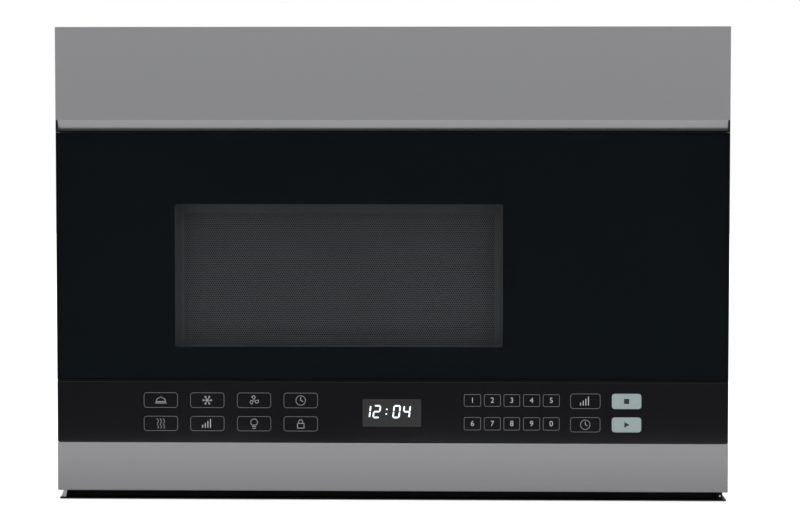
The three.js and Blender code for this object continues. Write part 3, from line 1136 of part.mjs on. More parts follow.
for (let index = 0; index < 3; index += 1) {
  add(`door_switch_${index + 1}`, switchBody(index), blackPlastic);
  add(`switch_plunger_${index + 1}`, plunger(index), whitePlastic);
}

// Plastic bracket that holds the switches behind the hook slots.
function interlockBracket() {
  const y0 = CASE_FRONT + SHEET + SEAT;
  const low = HOOK_Z[0] - 26;
  const high = HOOK_Z[1] + 26;
  const x = LATCH_X - SWITCH_WIDTH / 2 - SEAT;
  const wall = block(x - MOULD, x, y0, SWITCH_FRONT + SWITCH_LENGTH + 4, low, high);
  const foot = block(x - 14, LATCH_X + 20, y0, y0 + MOULD, low, high);
  const slots = HOOK_Z.map((z) => hookSlot(z, y0 - 1, y0 + MOULD + 1, HOOK_SLOT_MARGIN + 0.4));
  const shelfZ = [switchZ[0] - SWITCH_THICK / 2 - SEAT, switchZ[2] - SWITCH_THICK / 2 - SEAT];
  const shelves = shelfZ.map((z) => block(x - 1, LATCH_X + SWITCH_WIDTH / 2, SWITCH_FRONT + 4,
    SWITCH_FRONT + SWITCH_LENGTH, z - 1.6, z));
  const windows = block(x - MOULD - 1, x + 1, SWITCH_FRONT, SWITCH_FRONT + SWITCH_LENGTH - 4,
    HOOK_Z[0] + 30, HOOK_Z[1] - 30);
  return cut(join([wall, foot, ...shelves]), [...slots, windows]);
}
add('interlock_bracket', interlockBracket(), whitePlastic);

// ---------------------------------------------------------------- ventilation

const BLOWER_Y = OUTLET_Y - 28;
const SCROLL_START = WHEEL_RADIUS + 4;
const SCROLL_END = WHEEL_RADIUS + 13;
const BLOWER_Z = CAVITY_TOP + SHEET + SCROLL_END;
const SCROLL_MOUTH = HEIGHT - 19;
const SCROLL_INNER_X = 36;
const SCROLL_WIDTH = WHEEL_LENGTH + 8;
const INLET_RADIUS = WHEEL_RADIUS - 9;
const MOTOR_LENGTH = 62;
const SHAFT = 3;                  // radius of the blower shaft

// Scroll outline in Y and Z, grown by a margin: the spiral opens from the tongue round to the outlet.
function scrollOutline(margin, mouth) {
  const steps = 15;
  const points = [[BLOWER_Y + 4 - margin, mouth]];
  for (let index = 0; index <= steps; index += 1) {
    const angle = Math.PI / 2 + (index / steps) * 1.5 * Math.PI;
    const radius = SCROLL_START + (SCROLL_END - SCROLL_START) * (index / steps) + margin;
    points.push([BLOWER_Y + radius * Math.cos(angle), BLOWER_Z + radius * Math.sin(angle)]);
  }
  points.push([BLOWER_Y + SCROLL_END + margin, mouth]);
  return points;
}
function blowerScroll(side) {
  const innerX = side * SCROLL_INNER_X;
  const outerX = side * (SCROLL_INNER_X + SCROLL_WIDTH);
  const low = Math.min(innerX, outerX);
  const high = Math.max(innerX, outerX);
  const shell = pushed('x', scrollOutline(0, SCROLL_MOUTH), low, high)
    .subtract(pushed('x', scrollOutline(-SHEET, SCROLL_MOUTH + 1), low + SHEET, high - SHEET));
  const inlets = rod('x', INLET_RADIUS, low - 2, high + 2, BLOWER_Y, BLOWER_Z, 20);
  return cut(shell, [inlets]);
}
add('blower_scroll_left', blowerScroll(-1), greyPlastic);
add('blower_scroll_right', blowerScroll(1), greyPlastic);

// Squirrel cage wheel about its own axis: end ring, middle disc, back ring and forward curved blades.
function blowerWheel(side) {
  const sides = WHEEL_BLADES * 2;
  const across = (x, thickness) => [Math.min(x, x + thickness), Math.max(x, x + thickness)];
  const half = WHEEL_LENGTH / 2;
  const bladeInner = WHEEL_RADIUS - 7;
  const backX = -side * half;
  const frontX = side * half;
  const hubDisc = rod('x', WHEEL_RADIUS, ...across(backX, side * 1.6), 0, 0, sides);
  const hub = rod('x', 8, ...across(backX, side * 16), 0, 0, 12);
  const [rimStart, rimEnd] = across(frontX, -side * 2);
  const rim = rod('x', WHEEL_RADIUS, rimStart, rimEnd, 0, 0, sides)
    .subtract(rod('x', bladeInner, rimStart - 1, rimEnd + 1, 0, 0, sides));
  const blades = [];
  for (let index = 0; index < WHEEL_BLADES; index += 1) {
    const turn = (index * 2 * Math.PI) / WHEEL_BLADES;
    const outline = [
      [bladeInner + 0.3, -1.2], [WHEEL_RADIUS - 3, 0.4], [WHEEL_RADIUS - 0.6, 3], [WHEEL_RADIUS - 3.8, 1.4],
      [bladeInner + 0.3, 0],
    ].map(([u, v]) => [u * Math.cos(turn) - v * Math.sin(turn), u * Math.sin(turn) + v * Math.cos(turn)]);
    blades.push(pushed('x', outline, -half + 0.8, half - 0.8));
  }
  const bore = rod('x', SHAFT + SEAT, -half - 1, half + 1, 0, 0, 12);
  return cut(join([hubDisc, hub, rim, ...blades]), [bore]);
}
const wheelX = SCROLL_INNER_X + SCROLL_WIDTH / 2;
for (const [name, side] of [['blower_wheel_left', -1], ['blower_wheel_right', 1]]) {
  const wheel = add(name, blowerWheel(side), greyPlastic);
  wheel.position.set(side * wheelX, BLOWER_Y, BLOWER_Z);
}
const shaftReach = wheelX - WHEEL_LENGTH / 2 + 17;
add('blower_shaft', rod('x', SHAFT, -shaftReach, shaftReach, BLOWER_Y, BLOWER_Z, 12), springSteel);

// Blower motor on a strap that stands on the oven's top.
function blowerMotor() {
  const can = rod('x', 34, -MOTOR_LENGTH / 2, MOTOR_LENGTH / 2, BLOWER_Y, BLOWER_Z, 20);
  const band = rod('x', 36, -10, 10, BLOWER_Y, BLOWER_Z, 20);
  const standZ = CAVITY_TOP + SHEET + SEAT;
  const stand = block(-10, 10, BLOWER_Y - 26, BLOWER_Y + 26, standZ, BLOWER_Z - 18);
  const foot = block(-24, 24, BLOWER_Y - 30, BLOWER_Y + 30, standZ, standZ + 1.6);
  const bore = rod('x', SHAFT + SEAT + 0.1, -MOTOR_LENGTH, MOTOR_LENGTH, BLOWER_Y, BLOWER_Z, 12);
  return cut(join([can, band, stand, foot]), [bore]);
}
add('blower_motor', blowerMotor(), ironCore);

// Collar in the outlet at the top and the flap that lets air out and keeps draughts from coming in.
const COLLAR_DEPTH = 16;
const FLAP_Y = OUTLET_Y + OUTLET_DEPTH / 2 - 6;
const FLAP_Z = HEIGHT - 6;
const FLAP_PIN = 1.5;
function exhaustCollar() {
  const halfX = OUTLET_WIDTH / 2 - SEAT;
  const halfY = OUTLET_DEPTH / 2 - SEAT;
  const wall = 1.2;
  const sleeve = block(-halfX, halfX, OUTLET_Y - halfY, OUTLET_Y + halfY, HEIGHT - COLLAR_DEPTH, HEIGHT - 0.2)
    .subtract(block(-halfX + wall, halfX - wall, OUTLET_Y - halfY + wall, OUTLET_Y + halfY - wall,
      HEIGHT - COLLAR_DEPTH - 1, HEIGHT + 1));
  const flangeTop = HEIGHT - SHEET - SEAT;
  const rim = 8;
  const left = -halfX + 0.5;
  const front = OUTLET_Y - halfY + 0.5;
  const flange = block(-halfX - rim, halfX + rim, OUTLET_Y - halfY - rim, OUTLET_Y + halfY + rim,
    flangeTop - wall, flangeTop)
    .subtract(block(left, -left, front, 2 * OUTLET_Y - front, flangeTop - 3, flangeTop + 1));
  const stop = block(left, -left, front, front + 4.5, FLAP_Z - 2 * wall, FLAP_Z - wall);
  const pinHoles = rod('x', FLAP_PIN + 0.2, -halfX - 1, halfX + 1, FLAP_Y, FLAP_Z, 16);
  return cut(join([sleeve, flange, stop]), [pinHoles]);
}
add('exhaust_collar', exhaustCollar(), zincSteel);
function damperFlap() {
  const halfX = OUTLET_WIDTH / 2 - 3;
  const plate = block(-halfX, halfX, OUTLET_Y - OUTLET_DEPTH / 2 + 3, FLAP_Y, FLAP_Z - 0.4, FLAP_Z + 0.4);
  const pinReach = OUTLET_WIDTH / 2 - SEAT - 0.2;
  const pin = rod('x', FLAP_PIN, -pinReach, pinReach, FLAP_Y, FLAP_Z, 16);
  const hem = block(-halfX, halfX, OUTLET_Y - OUTLET_DEPTH / 2 + 3, OUTLET_Y - OUTLET_DEPTH / 2 + 3.8,
    FLAP_Z - 0.4, FLAP_Z + 3);
  return join([plate, pin, hem]);
}
add('damper_flap', damperFlap(), aluminium);

// Charcoal filter that cleans the air when it goes back into the room.
function charcoalFilter() {
  const y0 = SIDE_FRONT + 6;
  const low = BEVEL_BOTTOM + 44;
  const high = HEIGHT - 8;
  const edge = { left: -150, right: 150, low, high };
  const frame = frameRing(edge, inset(edge, 4), y0, y0 + 10);
  const core = block(edge.left + 3, edge.right - 3, y0 + 2, y0 + 8, low + 3, high - 3);
  return frame.add(core);
}
add('charcoal_filter', charcoalFilter(), charcoal);

export default microwave;
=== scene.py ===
"""Finishes, printed panel, door window and studio stage of an over the range microwave oven."""

import json
import math

import bmesh
import bpy
from bpy.props import FloatProperty, FloatVectorProperty, PointerProperty
from mathutils import Matrix, Vector


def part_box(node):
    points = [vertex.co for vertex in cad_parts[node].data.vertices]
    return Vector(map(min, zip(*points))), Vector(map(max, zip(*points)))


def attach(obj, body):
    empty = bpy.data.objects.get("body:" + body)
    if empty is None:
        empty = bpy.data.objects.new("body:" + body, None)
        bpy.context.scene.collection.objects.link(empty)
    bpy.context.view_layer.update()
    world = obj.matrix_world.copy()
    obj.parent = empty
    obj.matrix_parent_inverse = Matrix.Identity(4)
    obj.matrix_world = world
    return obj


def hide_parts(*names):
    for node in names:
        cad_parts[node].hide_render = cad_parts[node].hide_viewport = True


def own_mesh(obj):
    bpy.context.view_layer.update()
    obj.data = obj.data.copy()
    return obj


bl_info = {
    "name": "Over the range microwave finishes",
    "version": (1, 0, 0),
    "blender": (4, 5, 0),
    "location": "View3D > Sidebar > Microwave",
    "description": "Gives an over the range microwave its finishes, printed keys, door window and stage",
    "category": "Object",
}

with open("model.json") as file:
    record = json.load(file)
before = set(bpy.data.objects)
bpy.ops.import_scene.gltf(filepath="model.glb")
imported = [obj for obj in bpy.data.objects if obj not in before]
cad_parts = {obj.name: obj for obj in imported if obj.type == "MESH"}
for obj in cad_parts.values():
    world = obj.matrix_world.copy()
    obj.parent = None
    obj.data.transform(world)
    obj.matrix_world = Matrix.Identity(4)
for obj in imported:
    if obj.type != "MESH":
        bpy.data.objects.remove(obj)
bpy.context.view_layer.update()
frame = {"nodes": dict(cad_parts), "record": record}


# ---------------------------------------------------------------- settings

class FinishSettings(bpy.types.PropertyGroup):
    """Colours and roughness of the finishes that show most."""

    steel_color: FloatVectorProperty(
        name="Stainless", description="Colour of the brushed front panels",
        subtype="COLOR", size=3, min=0, max=1, default=(0.38, 0.38, 0.391))
    steel_roughness: FloatProperty(
        name="Stainless roughness", description="How far the brushed steel spreads a reflection",
        subtype="FACTOR", min=0, max=1, default=0.5)
    paint_color: FloatVectorProperty(
        name="Case paint", description="Colour of the painted case",
        subtype="COLOR", size=3, min=0, max=1, default=(0.0042, 0.0042, 0.0046))
    glass_tint: FloatVectorProperty(
        name="Door glass", description="Tint of the clear part of the door glass",
        subtype="COLOR", size=3, min=0, max=1, default=(0.62, 0.65, 0.66))
    print_color: FloatVectorProperty(
        name="Glass print", description="Black print behind the door glass",
        subtype="COLOR", size=3, min=0, max=1, default=(0.010, 0.0165, 0.022))
    edge_round: FloatProperty(
        name="Edge round", description="Radius that the edges of sheet and mouldings are eased to",
        subtype="DISTANCE", unit="LENGTH", min=0, max=0.002, default=0.0003)


class StageSettings(bpy.types.PropertyGroup):
    """Camera and studio, in metres and degrees."""

    camera_place: FloatVectorProperty(
        name="Camera place", description="Where the camera stands",
        subtype="TRANSLATION", size=3, default=(0.0608, -2.3086, 0.3243))
    camera_yaw: FloatProperty(
        name="Camera yaw", description="Turn of the camera to the left",
        subtype="ANGLE", default=math.radians(1.449))
    camera_pitch: FloatProperty(
        name="Camera pitch", description="Tilt of the camera downwards",
        subtype="ANGLE", default=math.radians(2.904))
    camera_roll: FloatProperty(
        name="Camera roll", description="Roll of the camera",
        subtype="ANGLE", default=math.radians(0.012))
    camera_lens: FloatProperty(
        name="Lens", description="Focal length on a 36 mm wide sensor",
        subtype="DISTANCE_CAMERA", min=10, max=300, default=105.6)


# ---------------------------------------------------------------- node helpers

def feed(tree, socket, value):
    """Links a socket to another, or sets a plain value on it."""
    if isinstance(value, bpy.types.NodeSocket):
        tree.links.new(value, socket)
    else:
        socket.default_value = value


def feed_named(tree, node, **values):
    """Feeds inputs by name; an underscore in a name stands for a space."""
    for key, value in values.items():
        feed(tree, node.inputs[key.replace("_", " ")], value)


def node_at(tree, kind, column, row, *first_inputs, **values):
    """A node at a place in the tree, with its first inputs, its properties and its named inputs fed."""
    node = tree.nodes.new(kind)
    node.location = (column * 200, -row * 180)
    for key in [key for key in values if hasattr(node, key)]:
        setattr(node, key, values.pop(key))
    feed_named(tree, node, **values)
    for socket, value in zip(node.inputs, first_inputs):
        feed(tree, socket, value)
    return node


def math_node(tree, operation, column, row, *numbers, clamp=False):
    """Output of a Math node fed by sockets or numbers."""
    return node_at(tree, "ShaderNodeMath", column, row, *numbers, operation=operation,
                   use_clamp=clamp).outputs[0]


def object_place(tree, column, row):
    """Output with the place on the object."""
    return node_at(tree, "ShaderNodeTexCoord", column, row).outputs["Object"]


def split_place(tree, place, column, row):
    """Outputs X, Y and Z of a vector."""
    return node_at(tree, "ShaderNodeSeparateXYZ", column, row, place).outputs


def empty_tree(owner):
    """Node tree of a material or world, with nothing in it."""
    owner.use_nodes = True
    owner.node_tree.nodes.clear()
    return owner.node_tree


# ---------------------------------------------------------------- shader node groups

NOISE_RANGE = (0.3, 0.7)


def effect_group(name, inputs, outputs):
    """An empty shader node group; inputs are (name, kind, default), outputs (name, kind)."""
    tree = bpy.data.node_groups.new(name, "ShaderNodeTree")
    for label, kind, default in inputs:
        socket = tree.interface.new_socket(label, in_out="INPUT", socket_type=f"NodeSocket{kind}")
        socket.default_value = default
    for label, kind in outputs:
        tree.interface.new_socket(label, in_out="OUTPUT", socket_type=f"NodeSocket{kind}")
    enter = node_at(tree, "NodeGroupInput", -5, 0)
    leave = node_at(tree, "NodeGroupOutput", 5, 0)
    return tree, enter.outputs, leave


def low_to_high(tree, given, noise):
    """Spreads a noise between the group's low and high values."""
    return node_at(tree, "ShaderNodeMapRange", -1, 1, Value=noise, From_Min=NOISE_RANGE[0],
                   From_Max=NOISE_RANGE[1], To_Min=given["Low"], To_Max=given["High"]).outputs["Result"]


def stretched_noise_group():
    """Noise drawn out along one axis: brushing on steel, rolling marks on aluminium."""
    tree, given, leave = effect_group(
        "stretched_noise",
        [("Stretch", "Vector", (6.0, 900.0, 900.0)), ("Detail", "Float", 2.0),
         ("Low", "Float", 0.3), ("High", "Float", 0.4)],
        [("Value", "Float"), ("Height", "Float")])
    scale = node_at(tree, "ShaderNodeVectorMath", -4, 1, object_place(tree, -5, 2), given["Stretch"],
                    operation="MULTIPLY")
    noise = node_at(tree, "ShaderNodeTexNoise", -3, 1, Scale=1.0, Vector=scale.outputs[0],
                    Detail=given["Detail"]).outputs["Fac"]
    feed_named(tree, leave, Value=low_to_high(tree, given, noise), Height=noise)
    return tree


def orange_peel_group():
    """Low bumps of sprayed paint or moulded grain, with a slow drift of the finish."""
    tree, given, leave = effect_group(
        "orange_peel",
        [("Grain", "Float", 900.0), ("Drift", "Float", 9.0), ("Low", "Float", 0.3), ("High", "Float", 0.4)],
        [("Value", "Float"), ("Height", "Float"), ("Shade", "Float")])
    place = object_place(tree, -5, 2)
    grain = node_at(tree, "ShaderNodeTexNoise", -3, 0, Detail=2.0, Roughness=0.55, Vector=place,
                    Scale=given["Grain"])
    drift = node_at(tree, "ShaderNodeTexNoise", -3, 2, Detail=4.0, Roughness=0.6, Vector=place,
                    Scale=given["Drift"]).outputs["Fac"]
    feed_named(tree, leave, Value=low_to_high(tree, given, drift), Height=grain.outputs["Fac"], Shade=drift)
    return tree


def eased_edge_group():
    """Mask of the outer edges, where paint thins and metal is rubbed bright."""
    tree, given, leave = effect_group(
        "eased_edge",
        [("Width", "Float", 0.0008), ("Break Up", "Float", 160.0)],
        [("Mask", "Float"), ("Normal", "Vector")])
    round_normal = node_at(tree, "ShaderNodeBevel", -3, 0, samples=4, Radius=given["Width"]).outputs["Normal"]
    flat_normal = node_at(tree, "ShaderNodeNewGeometry", -3, 1).outputs["Normal"]
    match = node_at(tree, "ShaderNodeVectorMath", -2, 0, round_normal, flat_normal, operation="DOT_PRODUCT")
    noise = node_at(tree, "ShaderNodeTexNoise", -3, 2, Detail=3.0, Vector=object_place(tree, -5, 2),
                    Scale=given["Break Up"])
    edge = math_node(tree, "SUBTRACT", -1, 0, 1.0, match.outputs["Value"], clamp=True)
    edge = math_node(tree, "MULTIPLY", 0, 0, edge, 3.0)
    broken = math_node(tree, "MULTIPLY", 1, 0, edge, noise.outputs["Fac"], clamp=True)
    feed_named(tree, leave, Mask=broken, Normal=round_normal)
    return tree


def settled_dust_group():
    """Mask of the thin dust that settles on faces that look up."""
    tree, given, leave = effect_group(
        "settled_dust",
        [("Amount", "Float", 0.25), ("Scale", "Float", 30.0)],
        [("Mask", "Float")])
    normal = node_at(tree, "ShaderNodeNewGeometry", -4, 0).outputs["Normal"]
    up = split_place(tree, normal, -3, 0)["Z"]
    noise = node_at(tree, "ShaderNodeTexNoise", -3, 2, Detail=6.0, Roughness=0.65,
                    Vector=object_place(tree, -5, 1), Scale=given["Scale"])
    facing = math_node(tree, "MULTIPLY", -1, 0, up, given["Amount"], clamp=True)
    feed_named(tree, leave, Mask=math_node(tree, "MULTIPLY", 1, 0, facing, noise.outputs["Fac"], clamp=True))
    return tree


EFFECTS = {}


def build_effects():
    """Makes each shared effect once."""
    for build in (stretched_noise_group, orange_peel_group, eased_edge_group, settled_dust_group):
        tree = build()
        EFFECTS[tree.name] = tree


# ---------------------------------------------------------------- materials

FINISHES = {}
DUST_COLOR = (0.30, 0.29, 0.27)
BLACK = (0.0, 0.0, 0.0)
GLASS_RIM = 0.0007
# Darker copy of the stainless for the lower panel: painted shade that keeps it as dark as the fascia against
# the floor light it catches.
LOWER_PAINTED_SHADE = 0.86
BRUSHING = {"stretch": (14.0, 1600.0, 1600.0), "spread": 0.03, "anisotropy": 0.3, "rub": 0.03}


def new_finish(name):
    """Adds a material with only a Principled shader to the finishes; returns its tree and shader."""
    material = FINISHES[name] = bpy.data.materials.new("finish_" + name)
    tree = empty_tree(material)
    shader = node_at(tree, "ShaderNodeBsdfPrincipled", 4, 0)
    node_at(tree, "ShaderNodeOutputMaterial", 6, 0, shader.outputs[0])
    return tree, shader


def effect(tree, name, column, row, **values):
    """Outputs of a shared effect placed in a material with its own values."""
    return node_at(tree, "ShaderNodeGroup", column, row, node_tree=EFFECTS[name], **values).outputs


def tinted(color, factor):
    """A colour made lighter or darker, at most white."""
    return [min(1.0, c * factor) for c in color]


def mixed_color(tree, column, row, mask, first, second):
    """Colour between two, by a mask; returns the output."""
    mix = node_at(tree, "ShaderNodeMix", column, row, data_type="RGBA", Factor=mask)
    for label, value in (("A", first), ("B", second)):
        socket = next(s for s in mix.inputs if s.name == label and s.type == "RGBA")
        feed(tree, socket, value if isinstance(value, bpy.types.NodeSocket) else (*value, 1.0))
    return next(s for s in mix.outputs if s.type == "RGBA")


def bump(tree, height, strength, distance):
    """Normal of a surface with a height on it."""
    return node_at(tree, "ShaderNodeBump", 3, 2, Strength=strength, Distance=distance,
                   Height=height).outputs["Normal"]


def brushed_metal(name, color, rough, stretch, spread=0.05, anisotropy=0.5, rub=0.06):
    """Metal with fine lines along one axis."""
    tree, shader = new_finish(name)
    lines = effect(tree, "stretched_noise", 0, 0, Stretch=stretch, Detail=2.0,
                   Low=rough - spread, High=rough + spread)
    edge = effect(tree, "eased_edge", 0, 2, Width=0.0006, Break_Up=200.0)["Mask"]
    shade = mixed_color(tree, 2, 0, lines["Height"], tinted(color, 1 - rub), tinted(color, 1 + rub))
    feed_named(tree, shader, Base_Color=mixed_color(tree, 3, 0, edge, shade, tinted(color, 1.5)),
               Roughness=lines["Value"], Metallic=1.0, Anisotropic=anisotropy,
               Normal=bump(tree, lines["Height"], 0.25, 0.00002))


def painted(name, color, rough, grain=900.0, spread=0.05, depth=0.00004, worn=None, dust=0.0, metallic=0.0,
            specular=0.5):
    """Sprayed or powder coated sheet, or moulded plastic with a grain."""
    tree, shader = new_finish(name)
    peel = effect(tree, "orange_peel", 0, 0, Grain=grain, Drift=9.0, Low=rough - spread, High=rough + spread)
    base = mixed_color(tree, 1, 0, peel["Shade"], tinted(color, 0.88), tinted(color, 1.12))
    if worn:
        edge = effect(tree, "eased_edge", 0, 2, Width=0.0008, Break_Up=160.0)["Mask"]
        base = mixed_color(tree, 2, 0, edge, base, worn)
    if dust:
        film = effect(tree, "settled_dust", 0, 3, Amount=dust, Scale=26.0)["Mask"]
        base = mixed_color(tree, 3, 0, film, base, DUST_COLOR)
    feed_named(tree, shader, Base_Color=base, Roughness=peel["Value"], Metallic=metallic,
               Specular_IOR_Level=specular, Normal=bump(tree, peel["Height"], 0.35, depth))


def outside_box(tree, node, margin):
    """Mask of the rim of a node that faces the front: 1 within a margin of its sides, top and bottom."""
    low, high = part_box(node)
    parts = split_place(tree, object_place(tree, -2, 3), -1, 3)
    masks = []
    for row, axis, label in ((3, 0, "X"), (4, 2, "Z")):
        middle = (low[axis] + high[axis]) / 2
        reach = (high[axis] - low[axis]) / 2 - margin
        away = math_node(tree, "ABSOLUTE", 1, row, math_node(tree, "SUBTRACT", 0, row, parts[label], middle))
        masks.append(math_node(tree, "GREATER_THAN", 2, row, away, reach))
    return math_node(tree, "MAXIMUM", 3, 3, *masks)


def clear_sheet(name, color, ior, edge_node=None):
    """Clear glass or plastic with faint smears that light passes through; a node's rim may be black."""
    tree, shader = new_finish(name)
    smear = effect(tree, "orange_peel", 0, 0, Grain=40.0, Drift=14.0, Low=0.0, High=0.02)
    shade = mixed_color(tree, 2, 0, smear["Shade"], tinted(color, 0.97), color)
    if edge_node:
        shade = mixed_color(tree, 3, 0, outside_box(tree, edge_node, GLASS_RIM), shade, BLACK)
    feed_named(tree, shader, Base_Color=shade, Roughness=smear["Value"], Metallic=0.0,
               Transmission_Weight=1.0, IOR=ior)


def ink(name, color, rough=0.35, specular=0.3, glow=0.0):
    """Screen print with a slightly uneven coat."""
    tree, shader = new_finish(name)
    coat = effect(tree, "orange_peel", 0, 0, Grain=5000.0, Drift=160.0, Low=rough - 0.04, High=rough + 0.04)
    shade = mixed_color(tree, 2, 0, coat["Shade"], tinted(color, 0.93), color)
    feed_named(tree, shader, Base_Color=shade, Roughness=coat["Value"], Specular_IOR_Level=specular)
    if glow:
        feed_named(tree, shader, Emission_Color=shade, Emission_Strength=glow)


def galvanised(name, color, rough):
    """Zinc coated sheet with its frost-like spangle."""
    tree, shader = new_finish(name)
    spangle = node_at(tree, "ShaderNodeTexVoronoi", -1, 1, Scale=260.0, Vector=object_place(tree, -2, 1))
    flake = effect(tree, "orange_peel", 0, 0, Grain=700.0, Drift=40.0, Low=rough - 0.06, High=rough + 0.08)
    tone = node_at(tree, "ShaderNodeSeparateColor", 0, 1, spangle.outputs["Color"]).outputs[0]
    shade = mixed_color(tree, 2, 0, tone, tinted(color, 0.8), tinted(color, 1.08))
    feed_named(tree, shader, Base_Color=shade, Roughness=flake["Value"], Metallic=1.0,
               Normal=bump(tree, flake["Height"], 0.2, 0.00003))


def build_finishes(settings):
    """One material for each of the record's slots, and for the printed and lit pieces."""
    steel, paint = tuple(settings.steel_color), tuple(settings.paint_color)
    brushed_metal("stainless", steel, settings.steel_roughness, **BRUSHING)
    # Painted shade: the lower panel's stainless is a darker copy of the same steel.
    brushed_metal("stainless_low", tinted(steel, LOWER_PAINTED_SHADE), settings.steel_roughness, **BRUSHING)
    brushed_metal("aluminium", (0.62, 0.63, 0.64), 0.34, (300.0, 60.0, 300.0), rub=0.12)
    brushed_metal("spring_steel", (0.5, 0.5, 0.52), 0.3, (900.0, 900.0, 900.0))
    galvanised("zinc_steel", (0.52, 0.53, 0.53), 0.42)
    painted("black_steel", paint, 0.42, grain=1400.0, worn=(0.02, 0.02, 0.021), dust=0.02)
    # Black paint darkened below the case paint, with little reflection: painted shade for the recessed base
    # lip, the door's side edges and the gap plates.
    painted("base_paint", (0.0024, 0.0024, 0.0026), 0.5, grain=1400.0, specular=0.08)
    # The screen and the door pan are black-painted steel given a mid grey: the grey is painted reflection of
    # the door glass over the dark paint.
    painted("screen_paint", (0.190, 0.190, 0.198), 0.5, grain=3000.0)
    painted("pan_paint", (0.176, 0.179, 0.186), 0.5, grain=3000.0)
    painted("oven_enamel", (0.52, 0.52, 0.50), 0.33, grain=700.0)
    painted("black_plastic", (0.010, 0.010, 0.011), 0.5, grain=2600.0, depth=0.00006)
    painted("key_panel", (0.0042, 0.0042, 0.0056), 0.12, grain=300.0, spread=0.02, depth=0.000004)
    painted("grey_plastic", (0.10, 0.105, 0.11), 0.55, grain=2200.0)
    painted("white_plastic", (0.68, 0.68, 0.64), 0.42, grain=1800.0)
    painted("mica", (0.42, 0.36, 0.27), 0.6, grain=500.0, spread=0.1)
    painted("circuit_board", (0.03, 0.11, 0.045), 0.35, grain=1200.0)
    painted("iron_core", (0.10, 0.10, 0.105), 0.5, grain=1500.0, metallic=0.7)
    painted("charcoal", (0.02, 0.02, 0.02), 0.85, grain=900.0, depth=0.0003)
    clear_sheet("door_glass", tuple(settings.glass_tint), 1.3, edge_node="door_glass")
    clear_sheet("clear_glass", (0.93, 0.97, 0.95), 1.45)
    # Dark tint on the inner window: painted shade that dims the view into the oven cavity through the screen.
    clear_sheet("smoked_glass", (0.20, 0.21, 0.21), 1.45)
    ink("glass_print", tuple(settings.print_color), rough=0.5, specular=0.0)
    ink("pale_ink", (0.42, 0.43, 0.44))
    ink("dim_ink", (0.13, 0.13, 0.135))
    ink("dark_ink", (0.02, 0.022, 0.024))
    ink("start_key_ink", (0.29, 0.355, 0.355))
    ink("display_dark", (0.036, 0.036, 0.036), rough=0.15)
    ink("display_glow", (0.85, 0.9, 0.95), glow=0.9)


# ---------------------------------------------------------------- edges and shading

# base_pan takes the black paint darkened as painted shade in its recess.
# inner_window takes the dark tint as painted shade over the cavity.
# lower_panel takes the darker copy of the stainless as painted shade.
OWN_FINISH = {"base_pan": "base_paint", "lower_panel": "stainless_low", "inner_window": "smoked_glass"}
CRISP = ("fascia_skin", "lower_panel")
CRISP_ANGLE = math.radians(15)
SMOOTH_ANGLE = math.radians(31)
FLAT_ANGLE = math.radians(0.05)
SHARP_ANGLE = math.radians(40)
WELD_REACH = 0.00001
SHADING = []


def dress_frame():
    """Gives every CAD node its own finish or that of its slot, and eased, smoothly shaded edges."""
    finishes = {row["node"]: row["material_slot"] for row in frame["record"]["subparts"]} | OWN_FINISH
    for name, node in frame["nodes"].items():
        node.data.materials.clear()
        node.data.materials.append(FINISHES[finishes[name]])
        for polygon in node.data.polygons:
            polygon.material_index = 0
        ease_edges(node)


def modify(piece, name, kind, **values):
    """Adds a modifier with its settings."""
    modifier = piece.modifiers.new(name, kind)
    for key, value in values.items():
        setattr(modifier, key, value)
    return modifier


def ease_edges(piece):
    """Welds the mesh, joins its flat facets, rounds its sharp edges and shades it by angle."""
    modify(piece, "weld", "WELD", merge_threshold=WELD_REACH)
    modify(piece, "flats", "DECIMATE", decimate_type="DISSOLVE", angle_limit=FLAT_ANGLE)
    modify(piece, "round", "BEVEL", width=bpy.context.scene.microwave_finish.edge_round, segments=2,
           limit_method="ANGLE", angle_limit=SHARP_ANGLE)
    shade = modify(piece, "shade", "NODES", node_group=SHADING[0])
    angle = SHADING[0].interface.items_tree["Angle"].identifier
    shade[angle] = CRISP_ANGLE if piece.name.startswith(CRISP) else SMOOTH_ANGLE
    modify(piece, "weighted", "WEIGHTED_NORMAL", mode="FACE_AREA", weight=100, keep_sharp=True)


def build_shading():
    """Geometry nodes that shade a mesh smooth wherever two faces meet at less than an angle."""
    tree = bpy.data.node_groups.new("smooth_by_angle", "GeometryNodeTree")
    for label, way, kind in (("Geometry", "INPUT", "Geometry"), ("Angle", "INPUT", "Float"),
                             ("Geometry", "OUTPUT", "Geometry")):
        tree.interface.new_socket(label, in_out=way, socket_type=f"NodeSocket{kind}")
    given = node_at(tree, "NodeGroupInput", -4, 0).outputs
    angle = node_at(tree, "GeometryNodeInputMeshEdgeAngle", -4, 1).outputs["Unsigned Angle"]
    small = node_at(tree, "FunctionNodeCompare", -3, 1, data_type="FLOAT", operation="LESS_EQUAL",
                    A=angle, B=given["Angle"])
    plain = node_at(tree, "GeometryNodeSetMeshNormal", -2, 0, mode="SHARPNESS", Mesh=given["Geometry"],
                    Remove_Custom=True)
    faces = node_at(tree, "GeometryNodeSetShadeSmooth", -1, 0, domain="FACE", Geometry=plain.outputs[0])
    edges = node_at(tree, "GeometryNodeSetShadeSmooth", 1, 0, domain="EDGE", Geometry=faces.outputs[0],
                    Shade_Smooth=small.outputs[0])
    node_at(tree, "NodeGroupOutput", 4, 0, edges.outputs[0])
    SHADING.append(tree)


# ---------------------------------------------------------------- object and mesh helpers

CORNER_STEPS = 6


def object_of(name, data):
    """An object of the data, linked to the scene."""
    piece = bpy.data.objects.new(name, data)
    bpy.context.scene.collection.objects.link(piece)
    return piece


def mesh_object(name, mesh):
    """Turns a bmesh into an object."""
    data = bpy.data.meshes.new(name)
    mesh.to_mesh(data)
    mesh.free()
    return object_of(name, data)


